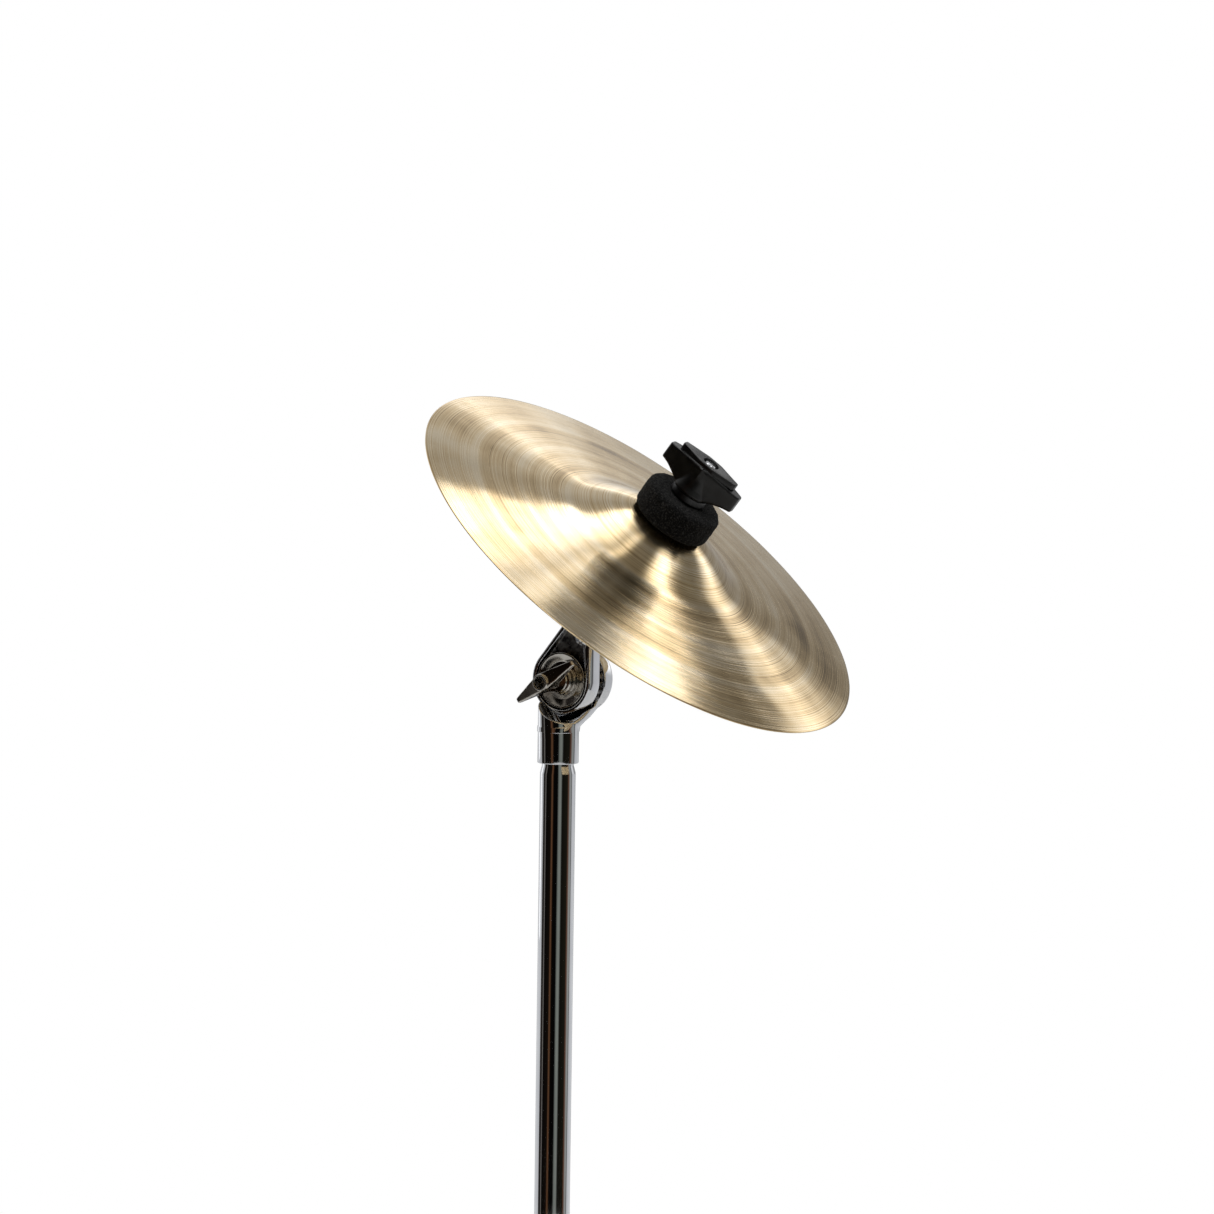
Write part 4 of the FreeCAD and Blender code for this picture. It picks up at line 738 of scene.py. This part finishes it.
def tilter_arm():
    outer = resampled(hub_and_arm(), 300)
    inner = along_rays(pocket(), (-4, 8), outer)
    layers = [(inset(outer, 0.6), HUB_BACK), (inset(outer, 0.15), HUB_BACK + 0.15), (outer, HUB_BACK + 0.6),
              (outer, HUB_FRONT - 0.8), (inset(outer, 0.2), HUB_FRONT - 0.25), (inset(outer, 0.7), HUB_FRONT),
              (inset(inner, -0.35), HUB_FRONT), (inset(inner, -0.08), HUB_FRONT - 0.12),
              (inner, HUB_FRONT - 0.5),
              (inset(inner, 0.15), HUB_FRONT - 2.4), (inset(inner, 0.5), HUB_FRONT - 2.9),
              (inset(inner, 0.9), HUB_FRONT - 3.0)]
    plate = stack("arm_plate", layers, ARM_FACE, 50)
    # Upward faces of the pocket floor take the second finish, painted dark as the pocket's shade.
    pocket_skin_painted_shade = [polygon.center.z / MM < HUB_FRONT - 2.5 and (polygon.center.xy / MM - Vector((-4, 8))).length < 26
            and polygon.normal.z > 0.3 for polygon in plate.data.polygons]
    for polygon, rough in zip(plate.data.polygons, pocket_skin_painted_shade):
        polygon.material_index = 1 if rough else 0
    boss = lathe("arm_boss", [
        (4.05, 24, 0), (7.4, 24, 0), (7.5, 41.5, 1.2), (6.2, 45, 0.8), (4.05, 45, 0.3)],
        shifted(ARM, x=-5.8, y=6.2))
    ring = tooth_ring("arm_teeth", ARM @ BACKWARD, 11.1, 13.4)
    return plate, boss, ring


arm_plate, arm_boss, arm_teeth = tilter_arm()
piece(arm_plate, "cymbal_tilter_arm", CAST_CHROME, AS_CAST_IN_PAINTED_SHADE)
detail(arm_boss, "cymbal_tilter_arm", CAST_CHROME)
# The teeth sit in the gap behind the hub; their dark finish is painted shade.
detail(arm_teeth, "cymbal_tilter_arm", AS_CAST_IN_PAINTED_SHADE)

# %% [markdown]
# ## The tilter's base
# The base sits on the boom tube. Its socket is turned, but the top is hollowed by a scoop in which the
# arm's hub turns, so each ring of points gets its own height: the scoop falls to one side and leaves a horn
# at the other. Behind it the casting sweeps up and back in one smooth skirt to the toothed disc. The skirt is
# a stack of rounded sections, and any point that would meet the hub is pushed out to a circle round the
# hinge.


# %% Tilter base
SOCKET_RADIUS, HUB_ROOM, HUB_NEAR, HUB_FAR = 10.5, 18.4, 0.5, 15.8
SCOOP_X, SCOOP_Z, SCOOP_RADIUS = 12.0, 9.0, 30.0


def scooped(x, y):
    """Height of the socket's hollowed top; under the hub it is a circle a little larger than the hub."""
    scoop = SCOOP_Z - math.sqrt(SCOOP_RADIUS ** 2 - (x - SCOOP_X) ** 2)
    under_hub = -math.sqrt(HUB_ROOM ** 2 - min(abs(x), HUB_ROOM - 0.1) ** 2)
    return min(scoop, under_hub) if y > HUB_NEAR else scoop


def socket():
    """Rings from inside the bore, over the lower edge, up the wall and across the hollowed top."""
    rings = [(7.95, -30, 0), (7.95, -41.9, 0), (8.15, -42.1, 0), (10.1, -42.1, 0), (10.38, -42.0, 0),
             (SOCKET_RADIUS, -41.6, 0), (SOCKET_RADIUS, -30, 0), (SOCKET_RADIUS, None, -0.7),
             (10.4, None, -0.3), (10.1, None, -0.05)]
    rings += [(9.9 - 0.7 * number, None, 0) for number in range(14)] + [(0.05, None, 0)]
    loops = []
    for radius, height, lower in rings:
        loop = []
        for x, y, _ in circle(radius, 0, 180):
            loop.append((x, y, scooped(x, y) + lower if height is None else height))
        loops.append(loop)
    vertices, faces = bridged(loops, caps=False)
    return mesh_object("tilter_socket", vertices, faces, HINGE, 40)


def skirt():
    """Sections (height, near, far, half width, rounding) from the socket up to the disc."""
    sections = [(-26, -10.2, 10.2, 10.2, 10), (-23.5, -10.2, 10.6, 10.3, 10), (-21.5, -6, 12.5, 10.6, 8),
                (-19, 2, 16, 10.8, 5), (-16, 9, 20, 11, 4), (-13, 14, 23, 11.8, 2.5),
                (-9, 16.4, 23.6, 15, 1.5)]
    loops = []
    for height, near, far, half, rounding in sections:
        outline = resampled(rounded([(-half, near, rounding), (half, near, rounding), (half, far, rounding),
                                     (-half, far, rounding)], True, 8), 120)
        loop = []
        for x, y in outline:
            reach = math.hypot(x, height)
            push = HUB_ROOM / reach if y < HUB_FAR and reach < HUB_ROOM else 1.0
            loop.append((x * push, y, height * push))
        loops.append(loop)
    vertices, faces = bridged(loops)
    return mesh_object("tilter_skirt", vertices, faces, HINGE, 40)


back_disc = lathe("tilter_disc", [
    (0, 16.0, 0), (17.5, 16.0, 0.6), (17.5, 24.0, 1.4), (7.5, 24.0, 0.6), (6.9, 23.2, 0.4), (6.0, 23.2, 0),
    (0, 23.2, 0)], HINGE @ BACKWARD, closed=False, segments=192)
base_ring = tooth_ring("tilter_base_teeth", HINGE @ BACKWARD @ Matrix.Rotation(math.radians(7.5), 4, "Z")
                       @ Matrix.Translation((0, 0, 29.8 * MM)) @ Matrix.Rotation(math.pi, 4, "X"), 13.8, 16.0)
piece(joined("tilter_base_casting", socket(), skirt(), back_disc), "cymbal_tilter_base", CAST_CHROME)
# The teeth sit in the gap between the discs; their dark finish is painted shade.
detail(base_ring, "cymbal_tilter_base", AS_CAST_IN_PAINTED_SHADE)

# %% [markdown]
# ## Boom tube and rod
# The boom is drawn steel tube, polished and plated. Its top end is swaged: pressed down to a smaller
# diameter so that it slips into the socket, which leaves a soft shoulder. The rod has a rolled thread. Each
# point of its surface is pushed in by a triangle wave that follows a helix, so it is a true screw.


# %% Boom tube
tube = lathe("swaged_boom_tube", [
    (7.9, -502.6, 0.2), (9.1, -502.6, 0.4), (9.1, -47.4, 2.2), (8.1, -43.3, 1.6), (7.9, -30, 0.3),
    (6.7, -30, 0.3), (6.7, -43, 1.0), (7.9, -48, 1.0)], HINGE, segments=160)
piece(tube, "boom_tube", CHROME)


# %% Threaded rod
def threaded_rod(radius=4.0, low=20.0, high=139.6, pitch=1.25, depth=0.55, chamfer=1.4):
    """A screw drawn ring by ring; the ends are chamfered."""
    loops, per_turn, segments = [], 8, 48
    count = int((high - low) / pitch * per_turn)
    for number in range(count + 1):
        height = low + (high - low) * number / count
        loop = []
        for index in range(segments):
            turn = 2 * math.pi * index / segments
            phase = (height / pitch - index / segments) % 1.0
            cut = depth * min(abs(phase * 2 - 1) * 1.25, 1.0)
            end = min(height - low, high - height)
            wide = min(radius - cut, radius - chamfer + end)
            loop.append((wide * math.cos(turn), wide * math.sin(turn), height))
        loops.append(loop)
    vertices, faces = bridged(loops)
    return mesh_object("threaded_rod", vertices, faces, ROD, 50)


piece(threaded_rod(), "cymbal_rod", STEEL)

# %% [markdown]
# ## The studio
# The stage is a pale round floor under soft light. Chrome shows whatever stands round it, so the world is a
# room with a dark side behind the viewer, where the tubes get their dark middle and a few coloured streaks,
# bright walls for their edges, and a grey flag far behind that draws their outline. The cymbal needs its own
# lights: its grooves turn every bright or dark thing near the mirror direction into a fan, so there the
# world is cut into sectors, each given by a turn in degrees and a brightness. Two weak soft boxes fill in.

# %% Floor and world
floor_mesh, floor_faces = bridged([circle(2700, -8.0, 128), circle(2700, 0.0, 128)])
floor = mesh_object("studio_floor", floor_mesh, floor_faces, Matrix.Translation((0, 0, CAD_BOX[0][2])), 40)
floor.data.materials.append(surface("matt_white_floor_paint", ("#EFEFEE", "#F3F3F2"), (0.65, 0.75),
                                    wear_and_sheen_mm=300, grain_mm=4, depth_mm=0.02))

VIEW_AZIMUTH, VIEW_ELEVATION, VIEW_ROLL = 32.74, 3.48, -0.83
LENS, EYE_FROM_PIVOT = 88.96, Vector((0.84369, -1.26806, 0.13042))


FANS = ((0, .5), (3, .85), (8, .55), (14, .4), (30, .25), (70, .16), (84, .2), (90, 1.1), (97, 1.25),
        (107, .9), (114, .5), (117.5, .3), (120.5, .62), (123, .6), (125, .13), (128, .09), (137, .08),
        (139.5, .2), (142.5, .7), (148, 1.2), (152.5, 1.0), (156, .25), (162, .08), (184, .08), (192, .4),
        (206, .75), (222, .4), (245, .12), (290, .14), (318, .22), (333, .34), (345, .5))
MIRROR = Vector((-0.0453, 0.8396, 0.5413))
FAN_STRENGTH, FAN_BRIGHTEST, FANS_BEGIN, FANS_FULL, FANS_UPWARD = 2.9, 1.25, 0.72, 0.86, 0.9
ROOM = ((0.0, "#5A5B5E"), (0.035, "#6A6B6E"), (0.06, "#E6E7E9"), (0.15, "#DCDDDF"), (0.205, "#D6D7D9"),
        (0.214, "#3A3634"), (0.262, "#1C1917"), (0.272, "#8A8580"), (0.288, "#0C0A09"), (0.385, "#15100C"),
        (0.405, "#6B4A33"), (0.432, "#0A0807"), (0.505, "#060606"), (0.528, "#7C817A"), (0.562, "#868A83"),
        (0.585, "#14130F"), (0.69, "#1E1C15"), (0.718, "#6B4A3A"), (0.745, "#9A9C98"), (0.772, "#A3A5A2"),
        (0.788, "#2A2A29"), (0.805, "#D2D3D5"), (0.86, "#DCDDDF"), (0.94, "#E6E7E9"), (0.965, "#6A6B6E"),
        (1.0, "#5A5B5E"))


def studio_world():
    """Bright and dark sectors round the cymbal's mirror direction, and a room with a dark side elsewhere."""
    world = bpy.data.worlds.new("studio")
    bpy.context.scene.world = world
    world.use_nodes = True
    tree = world.node_tree
    direction = add(tree, "ShaderNodeTexCoord").outputs["Generated"]

    def measure(kind, operation, *terms):
        """One step of arithmetic on directions or numbers."""
        return add(tree, kind, dict(enumerate(terms)), operation=operation).outputs["Value"]

    def turn_about(level, upward):
        """How far the direction points upward, and its turn in the plane as a share of a full turn."""
        sides = [measure("ShaderNodeVectorMath", "DOT_PRODUCT", direction, side) for side in (upward, level)]
        angle = measure("ShaderNodeMath", "ARCTAN2", *sides)
        share = measure("ShaderNodeMath", "DIVIDE", angle, 2 * math.pi)
        return sides[0], share

    level = Vector((0, 0, 1)).cross(MIRROR).normalized()
    above, share = turn_about(level, MIRROR.cross(level))
    turn = measure("ShaderNodeMath", "FRACT", measure("ShaderNodeMath", "ADD", share, 1.0))
    fans = add(tree, "ShaderNodeValToRGB", {"Fac": turn},
               [(angle / 360, value / FAN_BRIGHTEST) for angle, value in FANS])
    lifted = measure("ShaderNodeMath", "MAXIMUM", above, 0.0)
    along = measure("ShaderNodeVectorMath", "DOT_PRODUCT", direction, MIRROR)
    near = measure("ShaderNodeMath", "MULTIPLY_ADD", lifted, FANS_UPWARD, along)
    in_fans = add(tree, "ShaderNodeMapRange", {"Value": near}, From_Min=FANS_BEGIN, From_Max=FANS_FULL)
    azimuth = math.radians(VIEW_AZIMUTH)
    _, heading = turn_about(Vector((math.sin(azimuth), -math.cos(azimuth), 0)),
                            Vector((math.cos(azimuth), math.sin(azimuth), 0)))
    place = measure("ShaderNodeMath", "ADD", heading, 0.5)
    room = add(tree, "ShaderNodeValToRGB", {"Fac": place}, ROOM)
    background = tree.nodes["Background"]
    tree.links.new(room.outputs["Color"], background.inputs["Color"])
    boxes = add(tree, "ShaderNodeBackground", {"Color": fans.outputs["Color"]}, Strength=FAN_STRENGTH)
    white = add(tree, "ShaderNodeBackground", Color=linear("#FFFFFF"), Strength=1.0)
    around = add(tree, "ShaderNodeMixShader", {0: in_fans.outputs["Result"], 1: background.outputs[0],
                                               2: boxes.outputs[0]})
    seen = add(tree, "ShaderNodeLightPath").outputs["Is Camera Ray"]
    blend = add(tree, "ShaderNodeMixShader", {0: seen, 1: around.outputs[0], 2: white.outputs[0]})
    tree.links.new(blend.outputs[0], tree.nodes["World Output"].inputs["Surface"])


studio_world()


# %% Lights and camera
def soft_box(name, place, target, width, height, power, shade="#FFFFFF"):
    """A rectangular soft box that looks at a point."""
    data = bpy.data.lights.new(name, "AREA")
    data.shape, data.size, data.size_y = "RECTANGLE", width, height
    data.energy, data.color = power, linear(shade)[:3]
    lamp = bpy.data.objects.new(name, data)
    bpy.context.scene.collection.objects.link(lamp)
    lamp.location = place
    lamp.rotation_euler = (Vector(target) - Vector(place)).to_track_quat("-Z", "Y").to_euler()
    return lamp


PIVOT = HINGE.translation
soft_box("side_strip_left", PIVOT + Vector((-1.8, 0.2, 0.4)), PIVOT, 0.5, 1.8, 2)
soft_box("front_fill", PIVOT + Vector((1.6, -1.4, 1.6)), PIVOT, 1.2, 1.2, 10)


def camera():
    azimuth, elevation, roll = (math.radians(angle) for angle in (VIEW_AZIMUTH, VIEW_ELEVATION, VIEW_ROLL))
    back = Vector((math.sin(azimuth) * math.cos(elevation), -math.cos(azimuth) * math.cos(elevation),
                   math.sin(elevation)))
    right = Vector((math.cos(azimuth), math.sin(azimuth), 0))
    above = back.cross(right)
    side = right * math.cos(roll) - above * math.sin(roll)
    upward = right * math.sin(roll) + above * math.cos(roll)
    data = bpy.data.cameras.new("studio_camera")
    data.lens, data.sensor_width = LENS, 36.0
    eye = bpy.data.objects.new("studio_camera", data)
    bpy.context.scene.collection.objects.link(eye)
    turn = Matrix((side, upward, back)).transposed().to_4x4()
    eye.matrix_world = Matrix.Translation(PIVOT + EYE_FROM_PIVOT) @ turn
    bpy.context.scene.camera = eye


camera()
bpy.context.scene.view_settings.view_transform = "Standard"
